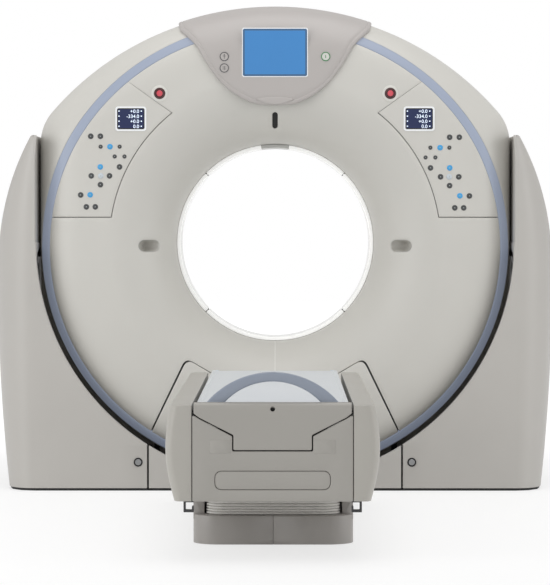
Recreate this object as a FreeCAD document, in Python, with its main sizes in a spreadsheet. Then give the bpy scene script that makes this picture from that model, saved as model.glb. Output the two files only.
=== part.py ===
import FreeCAD, Part
import math
import os
import Sketcher
from FreeCAD import Rotation, Vector

# A CT scanner, in millimetres: a gantry that tilts between two stands and carries the spinning
# rotor, and a patient couch that lifts its tabletop and feeds it through the bore.
# X runs across, Y runs along the bore away from the couch, Z is up and the floor is Z = 0.

SIZES = (
    # the gantry's place
    ("floor_gap", 41, "tilting body's lowest point over the floor"),
    # the bore and the funnel round it
    ("bore_radius", 390, "clear radius of the bore"),
    ("lip_radius", 405, "radius at which the covers meet the bore liner"),
    ("lip_depth", 120, "half the liner's length"),
    ("crease_radius", 678, "radius of the crease between funnel and face"),
    ("front_face", 380, "front face ahead of the bore's centre"),
    ("rear_face", 420, "rear face behind the bore's centre"),
    # the tilting body's outline
    ("side_half", 959, "half the width of the tilting body"),
    ("corner_round", 200, "round where the dome meets the sides"),
    ("dome_radius", 1204, "radius of the dome"),
    ("dome_top", 950, "dome above the bore's centre"),
    ("rim_half", 205, "half the width of the flat rim"),
    ("shoulder", 190, "width of the rounded shoulder from rim to face"),
    ("cover_wall", 9, "wall of the tilting covers"),
    ("seam", 0.8, "gap between neighbouring covers"),
    # the trim ring
    ("ring_side", 7, "trim ring inside the tilting body's sides"),
    ("ring_head", 51, "trim ring below the dome's top"),
    ("ring_foot", 8, "trim ring above the tilting body's lowest point"),
    ("ring_band", 37, "width of the trim ring's band"),
    # the console hood
    ("hood_rise", 14, "hood's front above the cover"),
    ("hood_half_top", 388, "half the hood's width at its top corners"),
    ("hood_corner", 874, "hood's top corners above the bore's centre"),
    ("hood_tip", 554, "hood's lower tip above the bore's centre"),
    ("hood_back", 60, "hood's rear edge behind the bore's centre"),
    ("screen_width", 266, "console screen's width"),
    ("screen_height", 198, "console screen's height"),
    ("screen_centre", 766, "console screen's centre above the bore's centre"),
    ("screen_rise", 1.5, "console screen's frame above the hood"),
    ("mark_radius", 18.5, "radius of the round marks on the hood"),
    ("mark_rise", 2, "round marks above the hood"),
    ("mark_x", 204, "round marks beside the bore's centre"),
    ("mark_high", 749.5, "upper round mark above the bore's centre"),
    ("mark_low", 703.5, "lower round mark above the bore's centre"),
    # the control panels
    ("panel_inner", 668, "radius of the control panel's inner edge"),
    ("panel_low", 103, "control panel's lower edge above the bore's centre"),
    ("panel_tip_x", 409, "control panel's upper corner beside the bore's centre"),
    ("panel_tip_z", 516, "control panel's upper corner above the bore's centre"),
    ("panel_top_x", 600, "control panel's upper edge at the ring, sideways"),
    ("panel_top_z", 652, "control panel's upper edge at the ring, upwards"),
    ("readout_x", 581, "panel readout's centre beside the bore's centre"),
    ("readout_z", 500, "panel readout's centre above the bore's centre"),
    ("readout_width", 125, "panel readout's width"),
    ("readout_height", 99, "panel readout's height"),
    ("readout_rise", 1.6, "panel readout above the panel"),
    ("key_radius", 11.5, "radius of the large keys"),
    ("small_key_radius", 8.5, "radius of the small keys"),
    ("key_rise", 3, "keys above the panel"),
    ("estop_x", 465, "emergency button beside the bore's centre"),
    ("estop_z", 602, "emergency button above the bore's centre"),
    ("estop_radius", 23, "radius of the emergency button"),
    ("estop_collar", 33, "outer radius of the emergency button's collar"),
    ("estop_rise", 6, "collar above the face"),
    ("estop_proud", 12, "emergency button's cap above the face"),
    ("estop_gap", 0.4, "gap round the emergency button"),
    # the laser windows
    ("slot_width", 22, "width of the upper laser window"),
    ("slot_height", 66, "height of the upper laser window"),
    ("slot_z", 495, "upper laser window above the bore's centre"),
    ("scoop_x", 510, "side laser recess beside the bore's centre"),
    ("scoop_z", -13, "side laser recess from the bore's centre, upwards"),
    ("scoop_width", 84, "length of the side laser recess"),
    ("scoop_height", 48, "height of the side laser recess"),
    ("scoop_depth", 44, "depth of the side laser recess"),
    ("scoop_wall", 4, "wall of the side laser recess"),
    # the docking panel under the bore
    ("dock_foot_x", 508, "docking panel's lower corner, sideways"),
    ("dock_foot_z", -777, "docking panel's lower corner, upwards"),
    ("dock_shoulder_x", 358, "docking panel's upper corner, sideways"),
    ("dock_shoulder_z", -468, "docking panel's upper corner, upwards"),
    ("dock_notch_x", 150, "docking panel's notch, half its width"),
    ("dock_notch_z", -590, "docking panel's notch, upwards"),
    ("dock_round", 30, "round of the docking panel's corners"),
    # the stands
    ("stand_gap", 8, "gap between the tilting body and the stands"),
    ("stand_reach", 176, "width of the stands beside the tilting body"),
    ("stand_front", 400, "stands' front ahead of the bore's centre"),
    ("stand_rear", 480, "stands' rear behind the bore's centre"),
    ("stand_top", 434, "stands' top above the bore's centre"),
    ("stand_waist", -155, "height at which the stands are widest, from the bore's centre"),
    ("stand_taper_low", 52, "how far the stands draw in at the floor"),
    ("stand_top_rim", 18, "stands' width at their top, outside their inner walls"),
    ("stand_roof", 60, "depth of the stands' solid top"),
    ("stand_wall", 8, "wall of the stand covers"),
    ("skirt_half", 508, "half the width of the skirt between the stands"),
    ("skirt_gap", 8, "groove between stand and skirt"),
    ("cutout_gap", 5, "gap below the tilting body where the cutout shows it"),
    ("cutout_lip", 30, "depth of the cutout's returned lip"),
    ("latch_x", 552, "cover latch beside the bore's centre"),
    ("latch_z", 115, "cover latch over the floor"),
    ("latch_radius", 18, "radius of the cover latch"),
    ("latch_rise", 5, "cover latch above the cover"),
    ("latch_slot", 4, "width of the cover latch's slot"),
    ("plinth", 10, "thickness of the floor plate under the stands"),
    ("plinth_inset", 4, "floor plate's edge inside the stand covers"),
    ("bridge_plate", 5, "thickness of the plate that ties the stands"),
    ("anchor_radius", 9, "radius of the floor anchor holes"),
    ("anchor_set", 60, "floor anchors from the pedestal's inner face and its front"),
    ("pedestal_inset", 20, "pedestal behind the stand's inner wall"),
    ("pedestal_width", 78, "width of the pedestal"),
    ("pedestal_half", 210, "half the pedestal's depth at its foot"),
    ("bearing_outer", 88, "outer radius of the tilt bearings"),
    ("bearing_cheek", 45, "pedestal's metal round the tilt bearings"),
    ("trunnion_radius", 60, "radius of the trunnions"),
    ("trunnion_fit", 0.05, "running gap of the trunnions"),
    ("trunnion_hole", 80, "radius of the holes that the trunnions pass"),
    ("trunnion_flange", 12, "thickness of the trunnions' flanges"),
    ("trunnion_end", 6, "trunnions' ends beyond the pedestals"),
    # the frame that tilts and the rotor that spins in it
    ("frame_face", 130, "tilting frame's plate behind the bore's centre"),
    ("frame_plate", 40, "thickness of the tilting frame's plate"),
    ("frame_set", 59, "tilting frame's rim inside the tilting body's sides"),
    ("frame_inner", 600, "inner radius of the tilting frame's plate"),
    ("bearing_band", 40, "radial width of each main bearing ring"),
    ("bearing_fit", 0.5, "gap between the main bearing's rings"),
    ("frame_side_gap", 12, "gap between the rotor and the tilting frame's sides"),
    ("frame_side_half", 150, "half the height of the tilting frame's sides"),
    ("frame_pad", 14, "thickness of the pads between the tilting frame and the rim cover"),
    ("frame_pad_half", 60, "half the length of the pads"),
    ("frame_pad_height", 40, "height of the pads"),
    ("rotor_set", 109, "rotor's rim inside the tilting body's sides"),
    ("rotor_rim", 18, "wall of the rotor's rim"),
    ("rotor_bore", 432, "radius of the hole in the rotor"),
    ("rotor_face", 60, "rotor's disc behind the bore's centre"),
    ("rotor_plate", 30, "thickness of the rotor's disc"),
    ("rotor_depth", 170, "rotor's parts ahead of the bore's centre"),
    ("tube_radius", 125, "radius of the X-ray tube's housing"),
    ("tube_gap", 42, "gap between the X-ray tube and the rotor's rim"),
    ("tube_cap", 20, "length of the X-ray tube's end cap"),
    ("collimator_half", 92, "half the width of the collimator"),
    ("rotor_part_gap", 40, "least gap between the rotor's housings and its rim"),
    ("generator_width", 250, "high voltage generator across the radius"),
    ("generator_height", 190, "high voltage generator along the radius"),
    ("exchanger_width", 250, "heat exchanger across the radius"),
    ("exchanger_height", 170, "heat exchanger along the radius"),
    ("weight_width", 200, "counterweight across the radius"),
    ("weight_height", 120, "counterweight along the radius"),
    ("detector_gap", 13, "gap between the detector and the edge of the rotor's hole"),
    ("detector_band", 95, "radial depth of the detector"),
    ("fan_half_angle", 27, "half the angle of the detector, in degrees"),
    ("slip_ring_band", 45, "radial width of the slip ring"),
    ("slip_ring_depth", 120, "length of the slip ring along the bore"),
    ("bearing_lip", 10, "main bearing's rings beyond the tilting frame's plate, front and rear"),
    ("hub_set", 4, "rotor's hub short of the main bearing's rear"),
    ("brush_gap", 1, "gap between the brush block and the slip ring"),
    ("brush_half", 60, "half the brush block's width"),
    ("brush_depth", 40, "brush block's length along the bore"),
    ("brush_reach", 60, "brush block's reach over the tilting frame"),
    # the couch's base and lift
    ("couch_reach", 2910, "couch's near end ahead of the bore's centre"),
    ("couch_far", 812, "couch's far end ahead of the bore's centre"),
    ("base_near", 2410, "base's near end ahead of the bore's centre"),
    ("base_far", 1160, "base's far end ahead of the bore's centre"),
    ("base_half", 270, "half the base's width"),
    ("base_top", 97, "top of the base's cover"),
    ("base_round", 90, "round of the base's corners in plan"),
    ("base_wall", 6, "wall of the base's cover"),
    ("base_horn_top", 152, "top of the base's side walls beside the bellows"),
    ("base_horn", 38, "thickness of the base's side walls"),
    ("base_plate_rise", 20, "thickness of the base's floor plate"),
    ("base_plate_inset", 12, "base's floor plate inside its cover"),
    ("base_anchor_x", 80, "base's floor anchors from its sides"),
    ("base_anchor_y", 160, "base's floor anchors from its ends"),
    ("bellows_half", 228, "half the width of the bellows"),
    ("bellows_end_gap", 26, "bellows behind the base's ends"),
    ("bellows_ribs", 5, "number of the bellows' ribs"),
    ("bellows_fold", 13, "depth of the bellows' folds"),
    ("bellows_wall", 4, "wall of the bellows"),
    ("couch_bottom", 191, "underside of the couch"),
    ("pan_wall", 8, "thickness of the couch's lower cover"),
    ("pan_well", 20, "lower cover's opening round the lift columns"),
    ("column_width", 250, "width of the outer lift column"),
    ("column_length", 330, "length of the outer lift column"),
    ("column_wall", 10, "wall of the lift columns"),
    ("column_gap", 0.6, "gap between the lift columns"),
    ("column_top", 312, "top of the outer lift column"),
    ("column_step", 5, "step between the ends of the lift columns"),
    ("column_well", 12, "base cover's opening round the outer lift column"),
    ("frame_top", 342, "top of the couch frame's deck"),
    ("deck_plate", 14, "thickness of the couch frame's deck"),
    ("beam_inner", 140, "inside of the couch frame's side beams"),
    ("beam_width", 42, "width of the couch frame's side beams"),
    ("beam_top", 384, "top of the couch frame's side beams"),
    ("beam_near", 40, "side beams' near ends behind the couch's end"),
    ("beam_far", 20, "side beams' far ends short of the couch's end"),
    ("deck_over", 60, "deck beyond the lift columns, near and far"),
    ("rail_height", 20, "height of the rails"),
    ("rail_width", 30, "width of the rails"),
    ("rail_set", 10, "rails short of the side beams' ends"),
    ("runner_gap", 0.3, "gap between rails and runners"),
    ("runner_length", 120, "length of the runners"),
    ("rail_end", 20, "rails' bare ends beyond the runners"),
    ("table_travel", 1170, "how far the tabletop goes into the bore"),
    ("arm_set", 25, "frame's arms short of the side covers' lower edges"),
    ("tie_length", 60, "length of the frame's ties along the couch"),
    ("tie_height", 80, "height of the frame's ties"),
    ("near_tie", 100, "near tie behind the side beams' near ends"),
    ("middle_tie", 480, "middle tie behind the side beams' near ends"),
    ("far_tie", 160, "far tie before the side beams' far ends"),
    # the couch's covers
    ("end_half", 256, "half the width of the near end's covers"),
    ("end_gap", 2, "gap between the end covers and the side covers"),
    ("cover_top", 499, "top of the side covers"),
    ("cover_low_x", 315, "side cover's lower edge from the middle"),
    ("cover_mid_x", 343, "side cover's widest place from the middle"),
    ("cover_high_x", 329, "side cover's upper edge from the middle"),
    ("cover_edge", 11, "bevel of the side covers' upper edge"),
    ("cover_skin", 8, "wall of the side covers"),
    ("end_plate", 16, "thickness of the near end's lower cover"),
    ("end_block", 30, "thickness of the near end's upper cover"),
    ("groove", 3, "groove between the near end's two covers"),
    ("tee_top_z", 468, "groove's outer end over the floor"),
    ("tee_stem_half", 129, "half the width of the upper cover's stem"),
    ("tee_stem_top", 399, "top of the stem's side over the floor"),
    ("tee_stem_low", 351, "bottom of the stem over the floor"),
    ("end_roll", 22, "round of the upper cover's top edge"),
    ("lock_radius", 7.5, "radius of the release hole"),
    ("lock_depth", 12, "depth of the release hole"),
    ("lock_z", 486, "release hole over the floor"),
    ("access_half", 185, "half the width of the access plate"),
    ("access_low", 228, "access plate's lower edge over the floor"),
    ("access_high", 289, "access plate's upper edge over the floor"),
    ("access_round", 25, "round of the access plate's corners"),
    ("hook_reach", 40, "hooks below the couch"),
    ("hook_width", 34, "width of the hooks"),
    ("hook_strap", 6, "thickness of the hooks"),
    ("hook_depth", 26, "hooks along the couch"),
    ("hook_place", 60, "hooks behind the couch's near end"),
    ("hook_tuck", 4, "hooks' inner edges inside the end covers' sides"),
    # the tabletop
    ("top_half", 243, "half the tabletop's width"),
    ("top_z", 507, "tabletop's upper face over the floor"),
    ("top_edge", 24, "thickness of the tabletop's edge"),
    ("top_belly", 88, "thickness of the tabletop in the middle"),
    ("handle_half", 210, "half the handle's width"),
    ("handle_rise", 95, "handle's height"),
    ("handle_bar", 30, "thickness of the handle"),
    ("handle_foot", 58, "width of the handle's feet"),
    ("handle_setback", 30, "handle behind the near end"),
)

STAND_CURVE = 2.4  # how quickly the stands draw in towards the top
FLARE_TURN = 81.4  # degrees that the funnel's flare has turned where it meets the face
SHOULDER_STEPS = (2, 2)  # facets across the shoulder, front and rear
FLARE_STEPS = (4, 3)  # facets along the funnel's flare, front and rear
LINING_STEPS = (2, 2)  # facets of the covers' inner faces
KEY_SIDES = 8
STAND_LEVELS = 6  # sections that the stands are lofted through
CORNER_STEPS = 3  # facets round the stands' corners
CORNER_STRETCH = 1.4  # the stands' corners reach this much further back than across


class Amount:
    """A number with the spreadsheet formula that gives it, so that plain sums write the expressions."""

    def __init__(self, number, formula=None):
        self.number = float(number)
        self.formula = formula or repr(float(number))

    def __float__(self):
        return self.number

    def joined(self, sign, other, result, swap=False):
        other = amount(other)
        pair = (other, self) if swap else (self, other)
        return Amount(result, f"({pair[0].formula} {sign} {pair[1].formula})")

    def __add__(self, other):
        return self.joined("+", other, self.number + float(other))

    def __radd__(self, other):
        return self.joined("+", other, float(other) + self.number, swap=True)

    def __sub__(self, other):
        return self.joined("-", other, self.number - float(other))

    def __rsub__(self, other):
        return self.joined("-", other, float(other) - self.number, swap=True)

    def __mul__(self, other):
        return self.joined("*", other, self.number * float(other))

    def __rmul__(self, other):
        return self.joined("*", other, float(other) * self.number, swap=True)

    def __truediv__(self, other):
        return self.joined("/", other, self.number / float(other))

    def __rtruediv__(self, other):
        return self.joined("/", other, float(other) / self.number, swap=True)

    def __neg__(self):
        return 0 - self


def amount(value):
    return value if isinstance(value, Amount) else Amount(value)


def arc_radius(chord, rise):
    """The radius of the arc that stands `rise` high over a chord."""
    return (chord * chord / 4 + rise * rise) / (2 * rise)


class Sizes:
    """The driving dimensions, kept in the document's spreadsheet under their aliases."""

    def __init__(self, doc):
        self.sheet = doc.addObject("Spreadsheet::Sheet", "Sizes")
        for row, (alias, size, meaning) in enumerate(SIZES, start=1):
            self.sheet.set(f"A{row}", meaning)
            self.sheet.set(f"B{row}", str(size))
            self.sheet.setAlias(f"B{row}", alias)
        doc.recompute()

    def __getattr__(self, alias):
        return Amount(self.sheet.get(alias), f"Sizes.{alias}")


doc = FreeCAD.newDocument("ct_scanner")
S = Sizes(doc)
PIECES = []

ISO_Y = (S.couch_reach - S.stand_rear) / 2  # puts the origin under the middle of the whole scanner
ISO_HEIGHT = S.side_half + S.floor_gap  # the bore's centre over the floor
GANTRY = (0, ISO_Y, ISO_HEIGHT)  # the gantry's pieces are drawn about the bore's centre
COUCH = (0, ISO_Y, 0)  # the couch's pieces are drawn over the floor, below the bore's centre
FLOOR = -ISO_HEIGHT  # the floor, seen from the bore's centre
FAR = 3000.0  # longer than any piece, for cutting tools
ALONG = {"x": Rotation(Vector(0, 1, 0), 90), "y": Rotation(Vector(1, 0, 0), -90), "z": Rotation()}
SIDES = (("left", -1), ("right", 1))

RING_TOP = S.dome_top - S.ring_head
RING_BOTTOM = -(S.side_half - S.ring_foot)
STAND_INNER = S.side_half + S.stand_gap  # the stands' inner walls from the middle
STAND_HALF = S.side_half + S.stand_reach  # half the width over the stands
CUTOUT = S.side_half + S.cutout_gap  # radius of the stands' cutout round the tilting body
PEDESTAL_IN = STAND_INNER + S.pedestal_inset
ANCHOR_X = PEDESTAL_IN - S.anchor_set
ANCHOR_Y = S.pedestal_half + S.anchor_set
FRAME_SIDE = S.side_half - S.cover_wall - S.frame_pad  # the tilting frame's outer sides
ROTOR_RADIUS = S.side_half - S.rotor_set
TUBE_PLACE = ROTOR_RADIUS - S.rotor_rim - S.tube_gap - S.tube_radius
FAN_RADIUS = TUBE_PLACE + S.rotor_bore + S.detector_gap  # detector's inner radius about the tube's focus
HUB_OUT = S.frame_inner - S.bearing_band - S.bearing_fit
HUB_IN = HUB_OUT - S.bearing_band
BEARING_REAR = S.frame_face + S.frame_plate + S.bearing_lip
BASE_MID = -(S.base_near + S.base_far) / 2  # the lift's centre along Y


# ---------------------------------------------------------------- document objects


def place(thing, corner):
    for axis, value in zip("xyz", corner):
        thing.setExpression(f"Placement.Base.{axis}", amount(value).formula)


def bind(thing, **amounts):
    for name, value in amounts.items():
        thing.setExpression(name, amount(value).formula)


def box(name, low, high):
    solid = doc.addObject("Part::Box", name)
    spans = [amount(b) - a for a, b in zip(low, high)]
    bind(solid, Length=spans[0], Width=spans[1], Height=spans[2])
    place(solid, low)
    return solid


def cylinder(name, radius, start, length, axis="z"):
    solid = doc.addObject("Part::Cylinder", name)
    solid.Placement.Rotation = ALONG[axis]
    bind(solid, Radius=radius, Height=length)
    place(solid, start)
    return solid


def fuse(name, parts):
    joined = doc.addObject("Part::MultiFuse", name)
    joined.Shapes = parts
    joined.Refine = True
    return joined


def cut(name, base, tools):
    result = doc.addObject("Part::Cut", name)
    result.Base = base
    result.Tool = tools[0] if len(tools) == 1 else fuse(f"{name}_tools", tools)
    return result


def group(name, parts):
    pack = doc.addObject("Part::Compound", name)
    pack.Links = parts
    return pack


def keep(node, thing, frame):
    """Names a finished sub-part and sets it in the scanner's frame."""
    if thing.TypeId in ("Part::Box", "Part::Cylinder"):
        thing = group(f"{node}_piece", [thing])
    thing.Label = node
    place(thing, frame)
    PIECES.append(thing)
    return thing


def keep_shape(node, shape, frame):
    feature = doc.addObject("Part::Feature", node)
    feature.Shape = shape
    return keep(node, feature, frame)


def body(name):
    return doc.addObject("PartDesign::Body", name)


def sketch_on(solid, name, plane, distance=0):
    """A sketch on one of the body's own origin planes, moved along the plane's normal."""
    planes = {feature.Role: feature for feature in solid.Origin.OriginFeatures}
    sketch = solid.newObject("Sketcher::SketchObject", name)
    sketch.AttachmentSupport = (planes[f"{plane}_Plane"], [""])
    sketch.MapMode = "FlatFace"
    sketch.setExpression("AttachmentOffset.Base.z", amount(distance).formula)
    return sketch


def hold(sketch, kind, first, second, value):
    index = sketch.addConstraint(Sketcher.Constraint(kind, *first, *second, float(value)))
    sketch.setExpression(f"Constraints[{index}]", amount(value).formula)


def arc_between(start, end, radius):
    """The short arc from start to end that bulges to the right of its way."""
    chord = end - start
    side = Vector(chord.y, -chord.x, 0).normalize()
    centre = (start + end) / 2 - side * math.sqrt(radius**2 - chord.Length**2 / 4)
    angles = [math.atan2(point.y - centre.y, point.x - centre.x) for point in (start, end)]
    return Part.ArcOfCircle(Part.Circle(centre, Vector(0, 0, 1), radius), *angles)


def outline(sketch, corners, arcs=None):
    """A closed outline whose corners are held by sizes; arcs gives the radius of the edges that bulge."""
    arcs = arcs or {}
    points = [Vector(float(x), float(y), 0) for x, y in corners]
    count = len(points)
    first = sketch.GeometryCount
    for i, start in enumerate(points):
        end = points[(i + 1) % count]
        if i in arcs:
            sketch.addGeometry(arc_between(start, end, float(arcs[i])), False)
        else:
            sketch.addGeometry(Part.LineSegment(start, end), False)
    for i in range(count):
        after = first + (i + 1) % count
        sketch.addConstraint(Sketcher.Constraint("Coincident", first + i, 2, after, 1))
    for i, (x, y) in enumerate(corners):
        hold(sketch, "DistanceX", (-1, 1), (first + i, 1), x)
        hold(sketch, "DistanceY", (-1, 1), (first + i, 1), y)
    for i, radius in arcs.items():
        hold(sketch, "Radius", (first + i,), (), radius)


def rectangle(sketch, low, high):
    outline(sketch, ((low[0], low[1]), (high[0], low[1]), (high[0], high[1]), (low[0], high[1])))


def circle(sketch, centre, radius):
    middle = Vector(*map(float, centre), 0)
    index = sketch.addGeometry(Part.Circle(middle, Vector(0, 0, 1), float(radius)), False)
    hold(sketch, "Radius", (index,), (), radius)
    hold(sketch, "DistanceX", (-1, 1), (index, 3), centre[0])
    hold(sketch, "DistanceY", (-1, 1), (index, 3), centre[1])


def pad(solid, sketch, length, backwards=False):
    feature = solid.newObject("PartDesign::Pad", f"{sketch.Name}_pad")
    feature.Profile = sketch
    feature.Reversed = backwards
    bind(feature, Length=length)
    doc.recompute()
    return feature


def pocket(solid, sketch, length, backwards=False):
    before = solid.Shape.Volume
    feature = solid.newObject("PartDesign::Pocket", f"{sketch.Name}_pocket")
    feature.Profile = sketch
    feature.Reversed = backwards
    bind(feature, Length=length)
    doc.recompute()
    if solid.Shape.Volume >= before:
        raise ValueError(f"{feature.Name} cuts nothing")
    return feature


def revolved(name, corners, arcs=None):
    """A body turned about the Y axis from an outline of (radius, y) corners."""
    solid = body(name)
    sketch = sketch_on(solid, f"{name}_profile", "XY")
    outline(sketch, corners, arcs)
    feature = solid.newObject("PartDesign::Revolution", f"{name}_turn")
    feature.Profile = sketch
    feature.ReferenceAxis = (sketch, ["V_Axis"])
    feature.Angle = 360
    doc.recompute()
    return solid


def edges_where(shape, test):
    return [f"Edge{i}" for i, edge in enumerate(shape.Edges, start=1) if test(edge)]


def runs_along(edge, axis):
    if not isinstance(edge.Curve, Part.Line):
        return False
    return abs(abs(edge.Curve.Direction.dot(axis)) - 1) < 1e-6


def round_edges(solid, name, radius, test):
    base = solid.Tip
    chosen = edges_where(solid.Shape, test)
    feature = solid.newObject("PartDesign::Fillet", name)
    feature.Base = (base, chosen)
    bind(feature, Radius=radius)
    doc.recompute()


def bevel_edges(solid, name, size, test):
    base = solid.Tip
    chosen = edges_where(solid.Shape, test)
    feature = solid.newObject("PartDesign::Chamfer", name)
    feature.Base = (base, chosen)
    bind(feature, Size=size)
    doc.recompute()


# ---------------------------------------------------------------- the tilting body's form


def turned(face, centre_x, centre_z, start, sweep):
    """The face, drawn in the plane through the turning axis along +X, swept from one angle on."""
    axis = Vector(centre_x, 0, centre_z)
    face = face.copy()
    face.rotate(axis, Vector(0, -1, 0), start)
    return face.revolve(axis, Vector(0, -1, 0), sweep)


def arc_points(centre, across, along, sweep, steps):
    """Points along a quarter-ellipse or part of it, from its side at centre + across."""
    points = []
    for i in range(steps + 1):
        turn = math.radians(sweep) * i / steps
        points.append(centre + Vector(across * math.cos(turn), along * math.sin(turn), 0))
    return points


def rim_section(edge_x, depth, front, rear, rim, steps):
    """The section from the rim inwards: its outer edge at edge_x, its faces at -front and rear."""
    inner_x = edge_x - depth
    shoulder_front = arc_points(Vector(inner_x, -rim, 0), depth, rim - front, 90, steps[0])
    shoulder_rear = arc_points(Vector(inner_x, rim, 0), depth, rear - rim, 90, steps[1])
    corners = shoulder_front + list(reversed(shoulder_rear))
    return Part.Face(Part.makePolygon(corners + corners[:1]))


def outline_face(half, corner, radius, top, inset):
    """The tilting body's outline, seen from the front, drawn in at every side by inset."""
    half, corner, radius, top = half - inset, corner - inset, radius - inset, top - inset
    dome_z = top - radius
    corner_x = half - corner
    corner_z = dome_z + math.sqrt((radius - corner) ** 2 - corner_x**2)
    lean = math.atan2(corner_z - dome_z, corner_x)
    bend = Vector(corner_x + corner * math.cos(lean / 2), 0, corner_z + corner * math.sin(lean / 2))
    join = Vector(corner_x + corner * math.cos(lean), 0, corner_z + corner * math.sin(lean))

    def mirrored(point):
        return Vector(-point.x, point.y, point.z)

    side_low = Vector(half, 0, 0)
    side_high = Vector(half, 0, corner_z)
    edges = [
        Part.Arc(mirrored(side_low), Vector(0, 0, -half), side_low).toShape(),
        Part.LineSegment(side_low, side_high).toShape(),
        Part.Arc(side_high, bend, join).toShape(),
        Part.Arc(join, Vector(0, 0, top), mirrored(join)).toShape(),
        Part.Arc(mirrored(join), mirrored(bend), mirrored(side_high)).toShape(),
        Part.LineSegment(mirrored(side_high), mirrored(side_low)).toShape(),
    ]
    return Part.Face(Part.Wire(edges)), corner_x, corner_z, dome_z, math.degrees(lean)


def body_form(inset, steps=SHOULDER_STEPS):
    """The tilting body as a solid without its bore: a flat face inside a shoulder all round."""
    half, corner = float(S.side_half), float(S.corner_round)
    radius, top = float(S.dome_radius), float(S.dome_top)
    front, rear = float(S.front_face) - inset, float(S.rear_face) - inset
    rim = float(S.rim_half) - inset / 3
    depth = float(S.shoulder) - inset
    face, corner_x, corner_z, dome_z, lean = outline_face(half, corner, radius, top, inset)
    inner = outline_face(half, corner, radius, top, float(S.shoulder))[0]
    inner.translate(Vector(0, -front, 0))
    edge_x = half - inset
    section = rim_section(edge_x, depth, front, rear, rim, steps)
    corner_section = section.translated(Vector(corner_x + corner - inset - edge_x, 0, corner_z))
    dome_section = section.translated(Vector(radius - inset - edge_x, 0, dome_z))
    side = section.extrude(Vector(0, 0, corner_z))
    pieces = [
        turned(section, 0, 0, 180, 180),
        side,
        turned(corner_section, corner_x, corner_z, 0, lean),
        turned(dome_section, 0, dome_z, lean, 180 - 2 * lean),
        side.mirror(Vector(), Vector(1, 0, 0)),
        turned(corner_section, corner_x, corner_z, 0, lean).mirror(Vector(), Vector(1, 0, 0)),
    ]
    core = inner.extrude(Vector(0, front + rear, 0))
    return core.multiFuse(pieces).removeSplitter()


def funnel_form(inset, steps=FLARE_STEPS):
    """What the bore takes out of the tilting body: the throat and the flare at both of its ends."""
    lip, length = float(S.lip_radius) + inset, float(S.lip_depth)
    turn = math.radians(FLARE_TURN)
    across = (float(S.crease_radius) - float(S.lip_radius)) / (1 - math.cos(turn)) - inset
    flares = []
    for face, sign, count in ((float(S.front_face), -1, steps[0]), (float(S.rear_face), 1, steps[1])):
        along = (face - length) / math.sin(turn) - inset
        centre = Vector(lip + across, sign * length, 0)
        flare = arc_points(centre, -across, sign * along, FLARE_TURN, count)
        flare += [Vector(flare[-1].x, sign * FAR / 2, 0), Vector(0, sign * FAR / 2, 0)]
        flares.append(flare)
    corners = list(reversed(flares[0])) + flares[1]
    profile = Part.Face(Part.makePolygon(corners + corners[:1]))
    return profile.revolve(Vector(), Vector(0, 1, 0), 360)


def ellipse_prism(inset, low, high):
    """A prism along Y of the trim ring's outer ellipse, drawn in by inset."""
    wide = float(S.side_half - S.ring_side) - inset
    tall = float(RING_TOP - RING_BOTTOM) / 2 - inset
    centre = Vector(0, low, float(RING_TOP + RING_BOTTOM) / 2)
    curve = Part.Ellipse(centre + Vector(wide, 0, 0), centre + Vector(0, 0, tall), centre)
    return Part.Face(Part.Wire(curve.toShape())).extrude(Vector(0, high - low, 0))


def prism_y(points, low, high):
    """A prism along Y of a straight-sided outline of (x, z) points."""
    corners = [Vector(float(x), low, float(z)) for x, z in points]
    return Part.Face(Part.makePolygon(corners + corners[:1])).extrude(Vector(0, high - low, 0))


def stadium(centre_x, centre_z, width, height, low, high):
    """A prism along Y of a slot with round ends."""
    long, short = max(width, height), min(width, height)
    reach = (long - short) / 2
    way = Vector(reach, 0, 0) if width > height else Vector(0, 0, reach)
    middle = Vector(centre_x, low, centre_z)
    depth = high - low
    ends = [
        Part.makeCylinder(short / 2, depth, middle + way * sign, Vector(0, 1, 0)) for sign in (-1, 1)
    ]
    block = Part.makeBox(
        2 * way.x if width > height else short,
        depth,
        2 * way.z if height > width else short,
        middle - way - (Vector(0, 0, short / 2) if width > height else Vector(short / 2, 0, 0)),
    )
    return ends[0].multiFuse([ends[1], block]).removeSplitter()


def mirror_x(shape):
    return shape.mirror(Vector(), Vector(1, 0, 0))


def panel_prism(gap, low, high):
    """The left control panel's outline as a prism: the ring side is left wide for the covers to trim."""
    x, z = float(S.panel_tip_x) + gap, float(S.panel_tip_z)
    top_x, top_z = float(S.panel_top_x), float(S.panel_top_z)
    foot = float(S.panel_low) + gap
    radius = float(S.panel_inner) + gap
    slope = (top_z - z) / (top_x - x)
    reach = 1000.0
    foot_x = math.sqrt(radius**2 - foot**2)
    tip_scale = radius / math.hypot(x, z)
    tip = Vector(-x * tip_scale, low, z * tip_scale)
    far_tip = Vector(-reach, low, z + slope * (reach - x) - gap)
    lean = (math.atan2(tip.z, -tip.x) + math.asin(foot / radius)) / 2
    bend = Vector(-radius * math.cos(lean), low, radius * math.sin(lean))
    start = Vector(-foot_x, low, foot)
    edges = [
        Part.Arc(start, bend, tip).toShape(),
        Part.LineSegment(tip, far_tip).toShape(),
        Part.LineSegment(far_tip, Vector(-reach, low, foot)).toShape(),
        Part.LineSegment(Vector(-reach, low, foot), start).toShape(),
    ]
    return Part.Face(Part.Wire(edges)).extrude(Vector(0, high - low, 0))


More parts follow.
